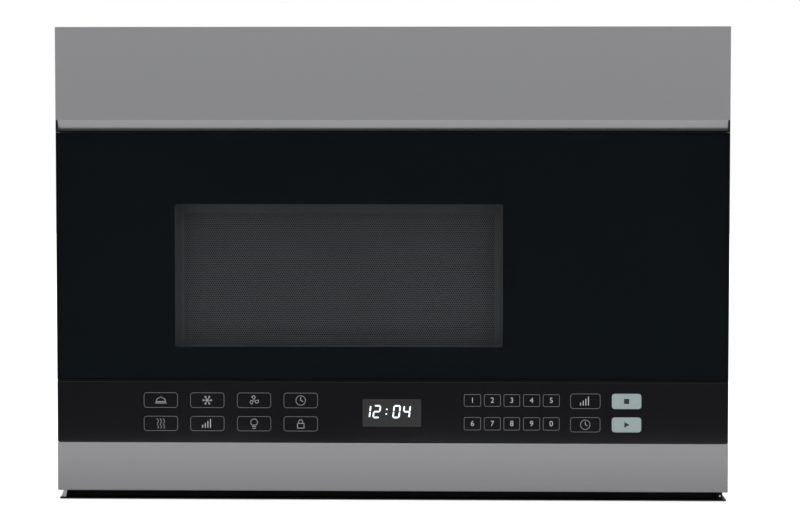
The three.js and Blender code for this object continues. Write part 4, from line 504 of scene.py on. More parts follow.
def evaluated_mesh(piece):
    """A new mesh of an object with its modifiers applied."""
    bpy.context.view_layer.update()
    return bpy.data.meshes.new_from_object(piece.evaluated_get(bpy.context.evaluated_depsgraph_get()))


def discard(piece, store):
    """Removes a helper object, and its data from the collection that stores it."""
    data = piece.data
    bpy.data.objects.remove(piece)
    store.remove(data)


def finish_piece(name, mesh, slot, body, finish=None):
    """Makes an object of a bmesh, gives it its finish and lets it ride on a body."""
    bmesh.ops.recalc_face_normals(mesh, faces=mesh.faces)
    piece = mesh_object(name, mesh)
    piece.data.materials.append(FINISHES[finish or slot])
    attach(piece, body)
    return piece


def slab_piece(name, slot, body, finish, *plates):
    """A piece made of plates, each given by what slab takes after the mesh."""
    mesh = bmesh.new()
    for plate in plates:
        slab(mesh, *plate)
    return finish_piece(name, mesh, slot, body, finish)


def join_rings(mesh, near, far):
    """Adds faces between two closed rows of as many vertices, and returns them."""
    return [mesh.faces.new(quad) for quad in zip(near, near[1:] + near[:1], far[1:] + far[:1], far)]


def slab(mesh, loops, low, high, axis=1):
    """Adds a plate with straight sides to a bmesh: its first loop is the outline, the others are holes.

    A loop is a list of pairs. Low and high lie along the axis (0, 1 or 2 for x, y or z), and a pair
    holds the other two coordinates in their usual order."""
    def ring(loop, depth):
        return [mesh.verts.new((*pair[:axis], depth, *pair[axis:])) for pair in loop]

    for depth in (low, high):
        edges = []
        for loop in loops:
            points = ring(loop, depth)
            edges += [mesh.edges.new(ends) for ends in zip(points, points[1:] + points[:1])]
        bmesh.ops.triangle_fill(mesh, edges=edges, use_beauty=True)
    for loop in loops:
        join_rings(mesh, ring(loop, low), ring(loop, high))
    bmesh.ops.remove_doubles(mesh, verts=mesh.verts, dist=1e-7)


def polar(x, z, reach, degrees):
    """The point at a distance and an angle from a centre."""
    turn = math.radians(degrees)
    return x + reach * math.cos(turn), z + reach * math.sin(turn)


def circle(x, z, radius, steps=24, start=0):
    """Points round a circle."""
    return [polar(x, z, radius, start + 360 * i / steps) for i in range(steps)]


def rectangle(x0, z0, x1, z1):
    """Outline of a rectangle."""
    return [(x0, z0), (x1, z0), (x1, z1), (x0, z1)]


def rounded(x0, z0, x1, z1, radius):
    """Outline of a rectangle with round corners."""
    corners = ((x1 - radius, z1 - radius, 0), (x0 + radius, z1 - radius, 90),
               (x0 + radius, z0 + radius, 180), (x1 - radius, z0 + radius, 270))
    return [polar(x, z, radius, start + 90 * i / CORNER_STEPS)
            for x, z, start in corners for i in range(CORNER_STEPS + 1)]


# ---------------------------------------------------------------- sizes taken from the CAD

PANEL_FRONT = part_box("fascia_skin")[0].y
GLASS_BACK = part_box("door_glass")[1].y
KEY_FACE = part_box("touch_panel")[0].y
CASE_FRONT = -0.168
BEVEL_TOP = 0.3435
BEVEL_DEPTH = 0.004
DOOR_GAP = 0.00012
WINDOW = (-0.196, 0.1389, 0.100, 0.2679)
WINDOW_CORNER = 0.002
PAN_OPENING = (-0.1901, 0.1387, 0.0929, 0.2592)


# ---------------------------------------------------------------- door

PRINT_INSET = 0.0004
PRINT_CORNER = 0.0015
PRINT_LAYER = (GLASS_BACK + 0.00002, GLASS_BACK + 0.0002)


class MICROWAVE_OT_door_print(bpy.types.Operator):
    """Black print behind the door glass, with the clear window left in it"""

    bl_idname = "microwave.door_print"
    bl_label = "Door glass print"

    def execute(self, context):
        low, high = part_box("door_glass")
        outline = rounded(low.x + PRINT_INSET, low.z + PRINT_INSET, high.x - PRINT_INSET,
                          high.z - PRINT_INSET, PRINT_CORNER)
        slab_piece("door_print", "black_plastic", "door", "glass_print",
                   ([outline, rounded(*WINDOW, WINDOW_CORNER)], *PRINT_LAYER))
        return {"FINISHED"}


EDGE_OUTER = 0.30295
EDGE_INNER = 0.3025
EDGE_CORNER = 0.0022
KEY_EDGE = 0.0016
HAIR = 0.00004
# Sizes of the black end caps and of the black plates behind the door gaps, which are painted shade in the
# gaps.
GAP_SHADE_SIDE = 0.3020
GAP_SHADE_END = 0.30297
GAP_SHADE_LOW = 0.0012
GAP_SHADE_TOP = 0.0045
GAP_SHADE_DROP = 0.00005


def edge_outline(side, z0, z1):
    """A thin strip along one upright side of a rounded plate, with square corners outside."""
    points = [(EDGE_OUTER, z0), (EDGE_OUTER, z1)]
    for z, start in ((z1 - EDGE_CORNER, 90), (z0 + EDGE_CORNER, 360)):
        points += [polar(EDGE_INNER - EDGE_CORNER, z, EDGE_CORNER, start - 90 * i / CORNER_STEPS)
                   for i in range(CORNER_STEPS + 1)]
    return [(side * x, z) for x, z in points]


class MICROWAVE_OT_edge_trims(bpy.types.Operator):
    """Black edges beside the door glass and the key panel, black end caps, and black plates in the gaps above
    and below the door that stand in for the shade there
    """

    bl_idname = "microwave.edge_trims"
    bl_label = "Edge trims"

    def execute(self, context):
        door_low, door_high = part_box("door_glass")
        keys_low, keys_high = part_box("touch_panel")
        fascia_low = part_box("fascia_skin")[0].z
        gap_low, gap_top = door_low.z - DOOR_GAP, door_high.z + DOOR_GAP
        face, key_edge = PANEL_FRONT + HAIR, KEY_FACE + KEY_EDGE
        end = [(face, gap_top), (CASE_FRONT, gap_top), (CASE_FRONT, fascia_low),
               (PANEL_FRONT + BEVEL_DEPTH, fascia_low), (face, BEVEL_TOP)]
        edges, key_edges_and_gap_shade = [], []
        for side in (-1, 1):
            edges.append(([edge_outline(side, door_low.z, door_high.z)], face, GLASS_BACK - HAIR))
            key_edges_and_gap_shade.append(([edge_outline(side, keys_low.z, keys_high.z)], KEY_FACE + HAIR, key_edge))
            # End caps close the ends of the upper gap and of the fascia bevel: dark like the case's side edge
            # there, and painted shade where they fill the gap.
            key_edges_and_gap_shade.append(([end], *sorted((side * GAP_SHADE_SIDE, side * GAP_SHADE_END)), 0))
        # Black plates behind the gaps below and above the door: painted shade that keeps the gaps dark.
        key_edges_and_gap_shade.append(([rectangle(PANEL_FRONT + GAP_SHADE_LOW, keys_high.z, CASE_FRONT, gap_low)],
                      -GAP_SHADE_END, GAP_SHADE_END, 0))
        key_edges_and_gap_shade.append(([rectangle(PANEL_FRONT + GAP_SHADE_TOP, gap_top, CASE_FRONT, fascia_low - GAP_SHADE_DROP)],
                      -GAP_SHADE_SIDE, GAP_SHADE_SIDE, 0))
        # Both pieces take the black paint darkened as painted shade.
        slab_piece("door_edge", "black_plastic", "door", "base_paint", *edges)
        slab_piece("door_gap_seals", "black_plastic", "case", "base_paint", *key_edges_and_gap_shade)
        return {"FINISHED"}


REVEAL = ((GLASS_BACK + 0.0003, WINDOW), (-0.1757, (-0.1930, 0.1389, 0.100, 0.2679)))
REVEAL_SHEET = 0.0004
CUT_REACH = 0.01


class MICROWAVE_OT_door_pan(bpy.types.Operator):
    """Door pan with its window cut through, so that the perforated screen is open behind"""

    bl_idname = "microwave.door_pan"
    bl_label = "Door pan"

    def execute(self, context):
        low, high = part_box("choke_pan")
        mesh = bmesh.new()
        slab(mesh, [rounded(*PAN_OPENING, WINDOW_CORNER)], low.y - CUT_REACH, high.y + CUT_REACH)
        bmesh.ops.recalc_face_normals(mesh, faces=mesh.faces)
        cutter = mesh_object("pan_cutter", mesh)
        mesh = bmesh.new()
        mesh.from_mesh(frame["nodes"]["choke_pan"].data)
        bmesh.ops.remove_doubles(mesh, verts=mesh.verts, dist=1e-6)
        pan = finish_piece("door_pan", mesh, "black_steel", "door", "pan_paint")
        cut = modify(pan, "cut", "BOOLEAN", operation="DIFFERENCE", object=cutter)
        solid = evaluated_mesh(pan)
        pan.modifiers.remove(cut)
        pan.data = solid
        discard(cutter, bpy.data.meshes)
        ease_edges(pan)
        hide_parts("choke_pan")
        mesh = bmesh.new()
        join_rings(mesh, *[[mesh.verts.new((x, y, z)) for x, z in rectangle(*box)] for y, box in REVEAL])
        reveal = finish_piece("window_reveal", mesh, "black_steel", "door", "pan_paint")
        modify(reveal, "sheet", "SOLIDIFY", thickness=REVEAL_SHEET)
        return {"FINISHED"}


SPRING_TURNS = 5
SPRING_WIRE = 0.0005
SPRING_STEPS = 24
SPRING_SIDES = 10


class MICROWAVE_OT_latch_spring(bpy.types.Operator):
    """Coil spring over the latch lever, made rigid at the length of the CAD spring; in the oven it shortens
    as the latch slides up
    """

    bl_idname = "microwave.latch_spring"
    bl_label = "Latch spring"

    def execute(self, context):
        low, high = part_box("latch_spring")
        middle = (low + high) / 2
        radius = (high.x - low.x) / 2 - SPRING_WIRE
        length = high.z - low.z
        steps = SPRING_TURNS * SPRING_STEPS
        mesh = bmesh.new()
        rings = []
        for i in range(steps + 1):
            out = Vector((*polar(0, 0, 1, 360 * SPRING_TURNS * i / steps), 0))
            rise = SPRING_WIRE + (length - 2 * SPRING_WIRE) * i / steps
            center = Vector((middle.x, middle.y, low.z + rise))
            ring = [center + out * (radius + across) + Vector((0, 0, up))
                    for across, up in circle(0, 0, SPRING_WIRE, SPRING_SIDES)]
            rings.append([mesh.verts.new(point) for point in ring])
        for near, far in zip(rings, rings[1:]):
            for face in join_rings(mesh, near, far):
                face.smooth = True
        for ring in (rings[0], rings[-1]):
            mesh.faces.new(ring)
        spring = finish_piece("latch_coil", mesh, "spring_steel", "door")
        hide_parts("latch_spring")
        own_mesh(spring)
        return {"FINISHED"}


SCREEN_PITCH = 0.002
SCREEN_HOLE = 0.0007
SCREEN_FACE = -0.17514
SCREEN_SHEET = 0.0006


def punched_cell(mesh, x, z):
    """One hexagonal cell of the screen with its round hole left open."""
    rings = [circle(x, z, reach, 6, 30) for reach in (SCREEN_PITCH / math.sqrt(3), SCREEN_HOLE)]
    join_rings(mesh, *[[mesh.verts.new((u, SCREEN_FACE, v)) for u, v in ring] for ring in rings])


class MICROWAVE_OT_window_screen(bpy.types.Operator):
    """Perforated steel screen pressed into the door pan behind the window"""

    bl_idname = "microwave.window_screen"
    bl_label = "Window screen"

    def execute(self, context):
        left, bottom, right, top = PAN_OPENING
        row_step = SCREEN_PITCH * math.sqrt(3) / 2
        rows = math.ceil((top - bottom) / row_step)
        columns = math.ceil((right - left) / SCREEN_PITCH)
        mesh = bmesh.new()
        for row in range(-1, rows + 1):
            start = left + SCREEN_PITCH * (1 + row % 2) / 2
            for column in range(-1, columns + 1):
                punched_cell(mesh, start + column * SCREEN_PITCH, bottom + (row + 0.5) * row_step)
        bmesh.ops.remove_doubles(mesh, verts=mesh.verts, dist=0.00002)
        # The screen's grey holds a painted reflection over its black paint.
        screen = finish_piece("window_screen", mesh, "black_steel", "door", "screen_paint")
        modify(screen, "sheet", "SOLIDIFY", thickness=SCREEN_SHEET, offset=0)
        return {"FINISHED"}


# ---------------------------------------------------------------- control panel

KEY_PRINT = 0.00022
KEY_LAYER = (KEY_FACE - KEY_PRINT, KEY_FACE)
SIGN_LAYER = (KEY_FACE - KEY_PRINT * 1.2, KEY_FACE - KEY_PRINT * 0.4)
ROW_TOP = (0.0836, 0.0974)
ROW_LOW = (0.0625, 0.0760)
FUNCTION_KEYS = ((-0.2245, -0.1937), (-0.1823, -0.1515), (-0.1399, -0.1092), (-0.0977, -0.0669))
NUMBER_KEYS = ((0.0652, 0.0805), (0.0833, 0.0983), (0.1010, 0.1157), (0.1186, 0.1338), (0.1364, 0.1514))
NUMBER_TOP = (0.0854, 0.0966)
NUMBER_LOW = (0.0640, 0.0758)
CLEAR_KEY = (0.1610, 0.1881)
START_KEY = (0.1984, 0.2249)
OUTLINE = 0.00045
KEY_CORNER = 0.0027
NUMBER_CORNER = 0.0016
DIGIT_HEIGHT = 0.0048
CAP_HEIGHT = 0.7
START_SIGN = ((-0.0020, -0.0026), (0.0028, 0), (-0.0020, 0.0026))
STOP_SIGN = rounded(-0.0023, -0.0023, 0.0023, 0.0023, 0.0004)
SIGN_RADIUS = 0.0043
SIGN_LINE = 0.0005


def middle(pair):
    """Halfway between two coordinates."""
    return sum(pair) / 2


def printed(name, mesh, finish):
    """A printed piece on the key panel."""
    return finish_piece(name, mesh, "key_panel", "case", finish)


def key_outline(mesh, x0, x1, z0, z1, radius=KEY_CORNER):
    """Adds a printed frame round a touch key."""
    inner = rounded(x0 + OUTLINE, z0 + OUTLINE, x1 - OUTLINE, z1 - OUTLINE, radius - OUTLINE)
    slab(mesh, [rounded(x0, z0, x1, z1, radius), inner], *KEY_LAYER)


def stroke(mesh, points, width, closed=False):
    """Adds a line of even width through the points, lying on the key panel."""
    points = [Vector(point) for point in (points + points[:1] if closed else points)]
    for start, end in zip(points, points[1:]):
        along = (end - start).normalized() * width / 2
        side = Vector((-along.y, along.x))
        corners = (start - along + side, start - along - side, end + along - side, end + along + side)
        near, far = [[mesh.verts.new((c.x, y, c.y)) for c in corners] for y in KEY_LAYER]
        mesh.faces.new(near)
        mesh.faces.new(far[::-1])
        join_rings(mesh, near, far)


def text_mesh(mesh, label, x, z, height):
    """Adds a number to a bmesh, centred on a point of the key panel."""
    curve = bpy.data.curves.new("label", "FONT")
    curve.body = label
    curve.size = height / CAP_HEIGHT
    curve.align_x = "CENTER"
    curve.align_y = "CENTER"
    curve.extrude = KEY_PRINT / 2
    holder = object_of("label", curve)
    made = evaluated_mesh(holder)
    upright = Matrix.Rotation(math.radians(90), 4, "X")
    made.transform(Matrix.Translation((x, KEY_FACE - KEY_PRINT / 2, z)) @ upright)
    mesh.from_mesh(made)
    bpy.data.meshes.remove(made)
    discard(holder, bpy.data.curves)


class MICROWAVE_OT_key_outlines(bpy.types.Operator):
    """Thin printed frames of the function keys and of the two keys beside the numbers"""

    bl_idname = "microwave.key_outlines"
    bl_label = "Key outlines"

    def execute(self, context):
        mesh = bmesh.new()
        for sides in (*FUNCTION_KEYS, CLEAR_KEY):
            key_outline(mesh, *sides, *ROW_TOP)
            key_outline(mesh, *sides, *ROW_LOW)
        printed("key_outlines", mesh, "dim_ink")
        return {"FINISHED"}


class MICROWAVE_OT_number_keys(bpy.types.Operator):
    """Frames and digits of the ten number keys"""

    bl_idname = "microwave.number_keys"
    bl_label = "Number keys"

    def execute(self, context):
        frames, digits = bmesh.new(), bmesh.new()
        for index, sides in enumerate(NUMBER_KEYS):
            for row, digit in ((NUMBER_TOP, index + 1), (NUMBER_LOW, (index + 6) % 10)):
                key_outline(frames, *sides, *row, NUMBER_CORNER)
                text_mesh(digits, str(digit), middle(sides), middle(row), DIGIT_HEIGHT)
        printed("number_key_frames", frames, "dim_ink")
        printed("number_key_digits", digits, "pale_ink")
        return {"FINISHED"}


class MICROWAVE_OT_start_keys(bpy.types.Operator):
    """The two filled keys at the right of the panel, with plain start and stop signs"""

    bl_idname = "microwave.start_keys"
    bl_label = "Start and stop keys"

    def execute(self, context):
        x0, x1 = START_KEY
        for index, (z0, z1) in enumerate((ROW_TOP, ROW_LOW)):
            slab_piece(f"filled_key_{index + 1}", "key_panel", "case", "start_key_ink",
                       ([rounded(x0, z0, x1, z1, KEY_CORNER)], *KEY_LAYER))
        for name, row, sign in (("start_sign", ROW_LOW, START_SIGN), ("stop_sign", ROW_TOP, STOP_SIGN)):
            outline = [(middle(START_KEY) + x, middle(row) + z) for x, z in sign]
            slab_piece(name, "key_panel", "case", "dark_ink", ([outline], *SIGN_LAYER))
        return {"FINISHED"}


# Each sign is a list of lines about a centre, in sizes of its radius: points, closed or not, and boldness.

def sign_clock():
    """A round face with two hands."""
    return [(circle(0, 0, 1), True, 1), ([(0, 0.6), (0, 0), (0.42, -0.2)], False, 1)]


def sign_lamp():
    """A bulb over two cap lines."""
    arc = [polar(0, 0.3, 0.72, 90 - a) for a in range(-145, 146, 29)]
    return [(arc, True, 1), *[([(-x, z), (x, z)], False, 1) for x, z in ((0.36, -0.62), (0.26, -0.98))]]


def sign_fan():
    """A hub with three blades."""
    blade = ((0.25, 0), (0.7, -28), (1.0, 0), (0.95, 32), (0.55, 30))
    return [(circle(0, 0, 0.2, 10), True, 1),
            *[([polar(0, 0, reach, lead + a) for reach, a in blade], True, 1) for lead in (90, 210, 330)]]


def sign_flake():
    """A six armed snow crystal."""
    lines = []
    for lead in range(0, 360, 60):
        lines.append(([(0, 0), polar(0, 0, 1, lead)], False, 1))
        fork = polar(0, 0, 0.66, lead)
        lines += [([fork, polar(*fork, 0.26, lead + turn)], False, 0.8) for turn in (-50, 50)]
    return lines


def sign_waves():
    """Three rising waves."""
    return [([(shift + 0.16 * math.sin(k * 0.9), k / 6 - 1) for k in range(13)], False, 1)
            for shift in (-0.65, 0.0, 0.65)]


def sign_plate():
    """A cover over a dish."""
    dome = [(math.cos(a), 0.85 * math.sin(a) - 0.3) for a in (math.radians(20 * i) for i in range(10))]
    return [(dome, True, 1), ([(-1.15, -0.62), (1.15, -0.62)], False, 1), (circle(0, 0.66, 0.1, 8), True, 1)]


def sign_steps():
    """Bars that rise from left to right."""
    return [([(0.55 * i - 1, -0.8), (0.55 * i - 1, 0.42 * (i + 1) - 0.8)], False, 1.6) for i in range(4)]


def sign_lock():
    """A closed padlock."""
    bow = [(-0.42, 0.1), (-0.42, 0.55), (-0.2, 0.85), (0.2, 0.85), (0.42, 0.55), (0.42, 0.1)]
    return [(rectangle(-0.7, -0.9, 0.7, 0.1), True, 1), (bow, False, 1)]


KEY_SIGNS = (
    (ROW_TOP, (sign_plate, sign_flake, sign_fan, sign_clock, sign_steps)),
    (ROW_LOW, (sign_waves, sign_steps, sign_lamp, sign_lock, sign_clock)),
)


class MICROWAVE_OT_key_signs(bpy.types.Operator):
    """Plain picture signs on the keys"""

    bl_idname = "microwave.key_signs"
    bl_label = "Key signs"

    def execute(self, context):
        mesh = bmesh.new()
        for row, signs in KEY_SIGNS:
            for sides, sign in zip((*FUNCTION_KEYS, CLEAR_KEY), signs):
                for points, closed, bold in sign():
                    points = [(middle(sides) + SIGN_RADIUS * x, middle(row) + SIGN_RADIUS * z)
                              for x, z in points]
                    stroke(mesh, points, SIGN_LINE * bold, closed)
        printed("key_signs", mesh, "pale_ink")
        return {"FINISHED"}


# ---------------------------------------------------------------- clock display

DISPLAY = (-0.0264, 0.0670, 0.0266, 0.0919)
DISPLAY_CORNER = 0.001
DIGITS_LOW = 0.0753
DIGITS_TOP = 0.0859
DIGIT_WIDTH = 0.0054
DIGIT_PLACES = (("1", -0.0256), ("2", -0.0168), ("0", 0.0011), ("4", 0.0102))
COLON = -0.0053
COLON_HEIGHTS = (0.3, 0.7)
COLON_RADIUS = 0.55
SEGMENT = 0.0013
SEGMENT_TIP = 0.12
SLANT = 0.12
LIT = {"0": "abcdef", "1": "bc", "2": "abged", "4": "fgbc"}


class MICROWAVE_OT_clock(bpy.types.Operator):
    """Display window with a slanted seven segment time in it"""

    bl_idname = "microwave.clock"
    bl_label = "Clock display"

    def execute(self, context):
        window_face = KEY_FACE - KEY_PRINT * 0.5
        slab_piece("display_window", "key_panel", "case", "display_dark",
                   ([rounded(*DISPLAY, DISPLAY_CORNER)], window_face, KEY_FACE))
        height = DIGITS_TOP - DIGITS_LOW
        outlines = [bar for digit, left in DIGIT_PLACES for bar in seven_segments(digit, left, height)]
        outlines += [circle(COLON + height * up * SLANT, DIGITS_LOW + height * up, SEGMENT * COLON_RADIUS, 10)
                     for up in COLON_HEIGHTS]
        slab_piece("display_digits", "key_panel", "case", "display_glow",
                   *[([outline], KEY_FACE - KEY_PRINT, window_face) for outline in outlines])
        return {"FINISHED"}


def seven_segments(digit, left, height):
    """Outlines of the lit bars of one digit, leaning to the right."""
    half, width = height / 2, DIGIT_WIDTH
    bars = {
        "a": (0, height, width, height), "g": (0, half, width, half), "d": (0, 0, width, 0),
        "f": (0, half, 0, height), "b": (width, half, width, height),
        "e": (0, 0, 0, half), "c": (width, 0, width, half),
    }
    tip, side = SEGMENT * SEGMENT_TIP, SEGMENT / 2
    outlines = []
    for x0, z0, x1, z1 in (bars[name] for name in LIT[digit]):
        flat, upright = (1, 0) if z0 == z1 else (0, 1)
        corners = [(x + flat * along + upright * across, z + upright * along + flat * across)
                   for x, z, along, across in (
                       (x0, z0, tip, 0), (x0, z0, tip + side, side), (x1, z1, -tip - side, side),
                       (x1, z1, -tip, 0), (x1, z1, -tip - side, -side), (x0, z0, tip + side, -side))]
        outlines.append([(left + x + z * SLANT, DIGITS_LOW + z) for x, z in corners])
    return outlines


# ---------------------------------------------------------------- underside

MESH_PITCH = (0.0062, 0.0030)
MESH_WIRE = 0.00062
MESH_MARGIN = 0.0085
MESH_DROP = 0.00225
LENS_RIB_PITCH = 0.0028
LENS_RIB_HEIGHT = 0.0009
LENS_FACE = 0.0054
LENS_INSET = (0.017, 0.0135)


class MICROWAVE_OT_filter_mesh(bpy.types.Operator):
    """Expanded aluminium mesh in the frames of the two grease filters"""

    bl_idname = "microwave.filter_mesh"
    bl_label = "Filter mesh"

    def execute(self, context):
        for side in ("left", "right"):
            low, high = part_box("grease_filter_" + side)
            mesh = bmesh.new()
            expanded_mesh(mesh, low.x + MESH_MARGIN, low.y + MESH_MARGIN, high.x - MESH_MARGIN,
                          high.y - MESH_MARGIN, high.z - MESH_DROP)
            piece = finish_piece("filter_mesh_" + side, mesh, "aluminium", "grease_filter_" + side)
            modify(piece, "wire", "SOLIDIFY", thickness=MESH_WIRE * 0.8, offset=0)
        return {"FINISHED"}


def expanded_mesh(mesh, x0, y0, x1, y1, z):
    """Adds flat diamond meshes between two corners at a height, each bounded by four slanting strands."""
    columns = int((x1 - x0) / MESH_PITCH[0])
    rows = int((y1 - y0) / MESH_PITCH[1])
    step_x, step_y = (x1 - x0) / columns, (y1 - y0) / rows
    half = MESH_WIRE / 2
    for row in range(rows):
        for column in range(columns):
            center = (x0 + (column + 0.5) * step_x, y0 + (row + 0.5) * step_y)
            for up, right in ((0, 0), (0, 1), (1, 0), (1, 1)):
                if (column + row + up + right) % 2:
                    continue
                corner = (x0 + (column + right) * step_x, y0 + (row + up) * step_y)
                mesh.faces.new([mesh.verts.new((x, y + shift, z)) for (x, y), shift in
                                ((corner, -half), (center, -half), (center, half), (corner, half))])
    bmesh.ops.remove_doubles(mesh, verts=mesh.verts, dist=0.00001)


class MICROWAVE_OT_lens_ribs(bpy.types.Operator):
    """Fine prisms moulded on the inside of the lamp cover"""

    bl_idname = "microwave.lens_ribs"
    bl_label = "Lamp cover ribs"

    def execute(self, context):
        low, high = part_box("lamp_cover")
        count = int((high.x - low.x - 2 * LENS_INSET[0]) / LENS_RIB_PITCH)
        ribs = []
        for left in ((index - count / 2) * LENS_RIB_PITCH for index in range(count)):
            profile = [(left, LENS_FACE), (left + LENS_RIB_PITCH / 2, LENS_FACE - LENS_RIB_HEIGHT),
                       (left + LENS_RIB_PITCH, LENS_FACE)]
            ribs.append(([profile], low.y + LENS_INSET[1], high.y - LENS_INSET[1]))
        slab_piece("lens_ribs", "clear_glass", "lamp_cover", "clear_glass", *ribs)
        return {"FINISHED"}


# ---------------------------------------------------------------- fasteners and small trim

SCREW_RADIUS = 0.0034
SCREW_SIDES = 20
SCREW_STEPS = ((0, 0.35, 1.0), (0.35, 0.75, 0.93), (0.75, 1.0, 0.78))
SIDE_SCREW_HEIGHT = 0.0009
PLATE_SCREW_HEIGHT = 0.0011
SIDE_SCREWS = ((0.188, 0.055), (0.188, 0.215), (0.188, 0.385),
               (-0.150, 0.016), (0.020, 0.016), (0.150, 0.016))
PLATE_SCREWS = ((0.289, 0.300), (0.289, 0.140), (0.190, 0.322), (-0.276, 0.322), (-0.276, 0.118))
LIP_FACE = -0.1920
GUSSET = ((-0.3012, 0.0013), (-0.2970, 0.0013), (-0.2958, 0.0074), (-0.2990, 0.0074))
GUSSET_SHEET = 0.0012
RIVET = (0.2968, 0.0040, 0.0009, 12)
RIVET_HEIGHT = 0.0006


def cross_outline(u, v, arm, width):
    """Outline of a cross recess."""
    steps = ((width, arm), (width, width), (arm, width), (arm, -width), (width, -width), (width, -arm),
             (-width, -arm), (-width, -width), (-arm, -width), (-arm, width), (-width, width), (-width, arm))
    return [(u + a, v + b) for a, b in steps]


def screw_heads(places, seat, height, axis):
    """Plates of low round heads with a cross recess; the height has the sign of their way out."""
    plates = []
    for u, v in places:
        recess = cross_outline(u, v, SCREW_RADIUS * 0.5, SCREW_RADIUS * 0.12)
        for start, end, share in SCREW_STEPS:
            rim = circle(u, v, SCREW_RADIUS * share, SCREW_SIDES)
            plates.append(([rim, recess] if start else [rim],
                           *sorted((seat + height * start, seat + height * end)), axis))
    return plates


class MICROWAVE_OT_screws(bpy.types.Operator):
    """Low head screws that hold the case sides and the front plate"""

    bl_idname = "microwave.screws"
    bl_label = "Screws"

    def execute(self, context):
        low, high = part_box("outer_case")
        for name, seat, way in (("left", low.x, -1), ("right", high.x, 1)):
            slab_piece("side_screws_" + name, "black_steel", "case", "black_steel",
                       *screw_heads(SIDE_SCREWS, seat, way * SIDE_SCREW_HEIGHT, 0))
        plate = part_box("front_plate")[0].y
        slab_piece("plate_screws", "zinc_steel", "case", "zinc_steel",
                   *screw_heads(PLATE_SCREWS, plate, -PLATE_SCREW_HEIGHT, 1))
        return {"FINISHED"}


class MICROWAVE_OT_corner_gusset(bpy.types.Operator):
    """Bare zinc corner piece at the left end of the base lip, and the screw at its right end"""

    bl_idname = "microwave.corner_gusset"
    bl_label = "Base corner piece"

    def execute(self, context):
        slab_piece("corner_gusset", "zinc_steel", "case", "zinc_steel",
                   ([GUSSET], LIP_FACE - GUSSET_SHEET, LIP_FACE))
        slab_piece("corner_rivet", "zinc_steel", "case", "zinc_steel",
                   ([circle(*RIVET)], LIP_FACE - RIVET_HEIGHT, LIP_FACE))
        return {"FINISHED"}


# ---------------------------------------------------------------- frame finishes

class MICROWAVE_OT_finishes(bpy.types.Operator):
    """Shader groups, materials and eased edges of every CAD node"""

    bl_idname = "microwave.finishes"
    bl_label = "Finishes"

    def execute(self, context):
        build_effects()
        build_shading()
        build_finishes(context.scene.microwave_finish)
        dress_frame()
        return {"FINISHED"}


# ---------------------------------------------------------------- stage

FLOOR_COLOR = 0.85
FLOOR_GLOW = 0.42
FLOOR_REACH = 6
FLOOR_DROP = 0.0005
FLOOR_DARK = 0.10
FLOOR_CLOSE = 0.44
BAND_START = (-0.55, -0.49)
BAND_END = (-0.42, -0.30)
BAND_BRIGHT = 2.4
WORLD_DARK = 0.10
WORLD_SIDES = 0.75
WORLD_ABOVE = 1.15
WORLD_WHITE = (1.0, 1.0, 1.0, 1.0)
DARK_MIDDLE = -0.03
DARK_SIDES = (0.19, 0.30)
DARK_TOP = (0.01, 0.07)
DARK_DEPTH = (-0.75, -0.3)
SENSOR_WIDTH = 36
LAMPS = (
    ("lamp_left", (-1.9, -1.5, 1.7), (0.0, -0.1, 0.2), 1.4, 1.1, 3.0),
    ("lamp_right", (2.0, -1.4, 1.5), (0.0, -0.1, 0.2), 1.4, 1.1, 3.0),
    ("lamp_top", (0.0, -0.3, 2.3), (0.0, 0.0, 0.2), 2.0, 1.4, 8.0),
)


def stage_gradient(tree, column, row, place, low, high):
    """0 to 1 as a coordinate passes from low to high; returns the output."""
    return node_at(tree, "ShaderNodeMapRange", column, row, interpolation_type="SMOOTHSTEP",
                   Value=place, From_Min=low, From_Max=high).outputs["Result"]


def floor_material():
    """Pale floor that keeps the shadow, darker to metal and glass in front, and clear from below."""
    material = bpy.data.materials.new("stage_floor")
    tree = empty_tree(material)
    material.cycles.emission_sampling = "NONE"
    path = node_at(tree, "ShaderNodeLightPath", -4, 0).outputs
    place = node_at(tree, "ShaderNodeNewGeometry", -4, 2).outputs
    depth = split_place(tree, place["Position"], -3, 2)["Y"]
    start = stage_gradient(tree, -2, 2, depth, *BAND_START)
    end = stage_gradient(tree, -2, 3, depth, *BAND_END)
    shine = math_node(tree, "MULTIPLY", -1, 2, start, BAND_BRIGHT - FLOOR_DARK)
    less = math_node(tree, "MULTIPLY", -1, 3, end, BAND_BRIGHT - FLOOR_CLOSE)
    shine = math_node(tree, "SUBTRACT", 0, 2, math_node(tree, "ADD", 0, 3, shine, FLOOR_DARK), less)
    glow = math_node(tree, "MULTIPLY", -3, 1, path["Is Camera Ray"], FLOOR_GLOW)
    pale = node_at(tree, "ShaderNodeBsdfDiffuse", -2, 0, Color=(FLOOR_COLOR, FLOOR_COLOR, FLOOR_COLOR, 1))
    lit = node_at(tree, "ShaderNodeEmission", -2, 1, Strength=glow)
    seen = node_at(tree, "ShaderNodeAddShader", -1, 0, pale.outputs[0], lit.outputs[0])
    mirrored = node_at(tree, "ShaderNodeEmission", 1, 2, Strength=shine)
    by_gloss = node_at(tree, "ShaderNodeMixShader", 2, 0, path["Is Glossy Ray"], seen.outputs[0],
                       mirrored.outputs[0])
    clear = node_at(tree, "ShaderNodeBsdfTransparent", 2, 2)
    by_side = node_at(tree, "ShaderNodeMixShader", 3, 0, place["Backfacing"], by_gloss.outputs[0],
                      clear.outputs[0])
    node_at(tree, "ShaderNodeOutputMaterial", 4, 0, by_side.outputs[0])
    return material


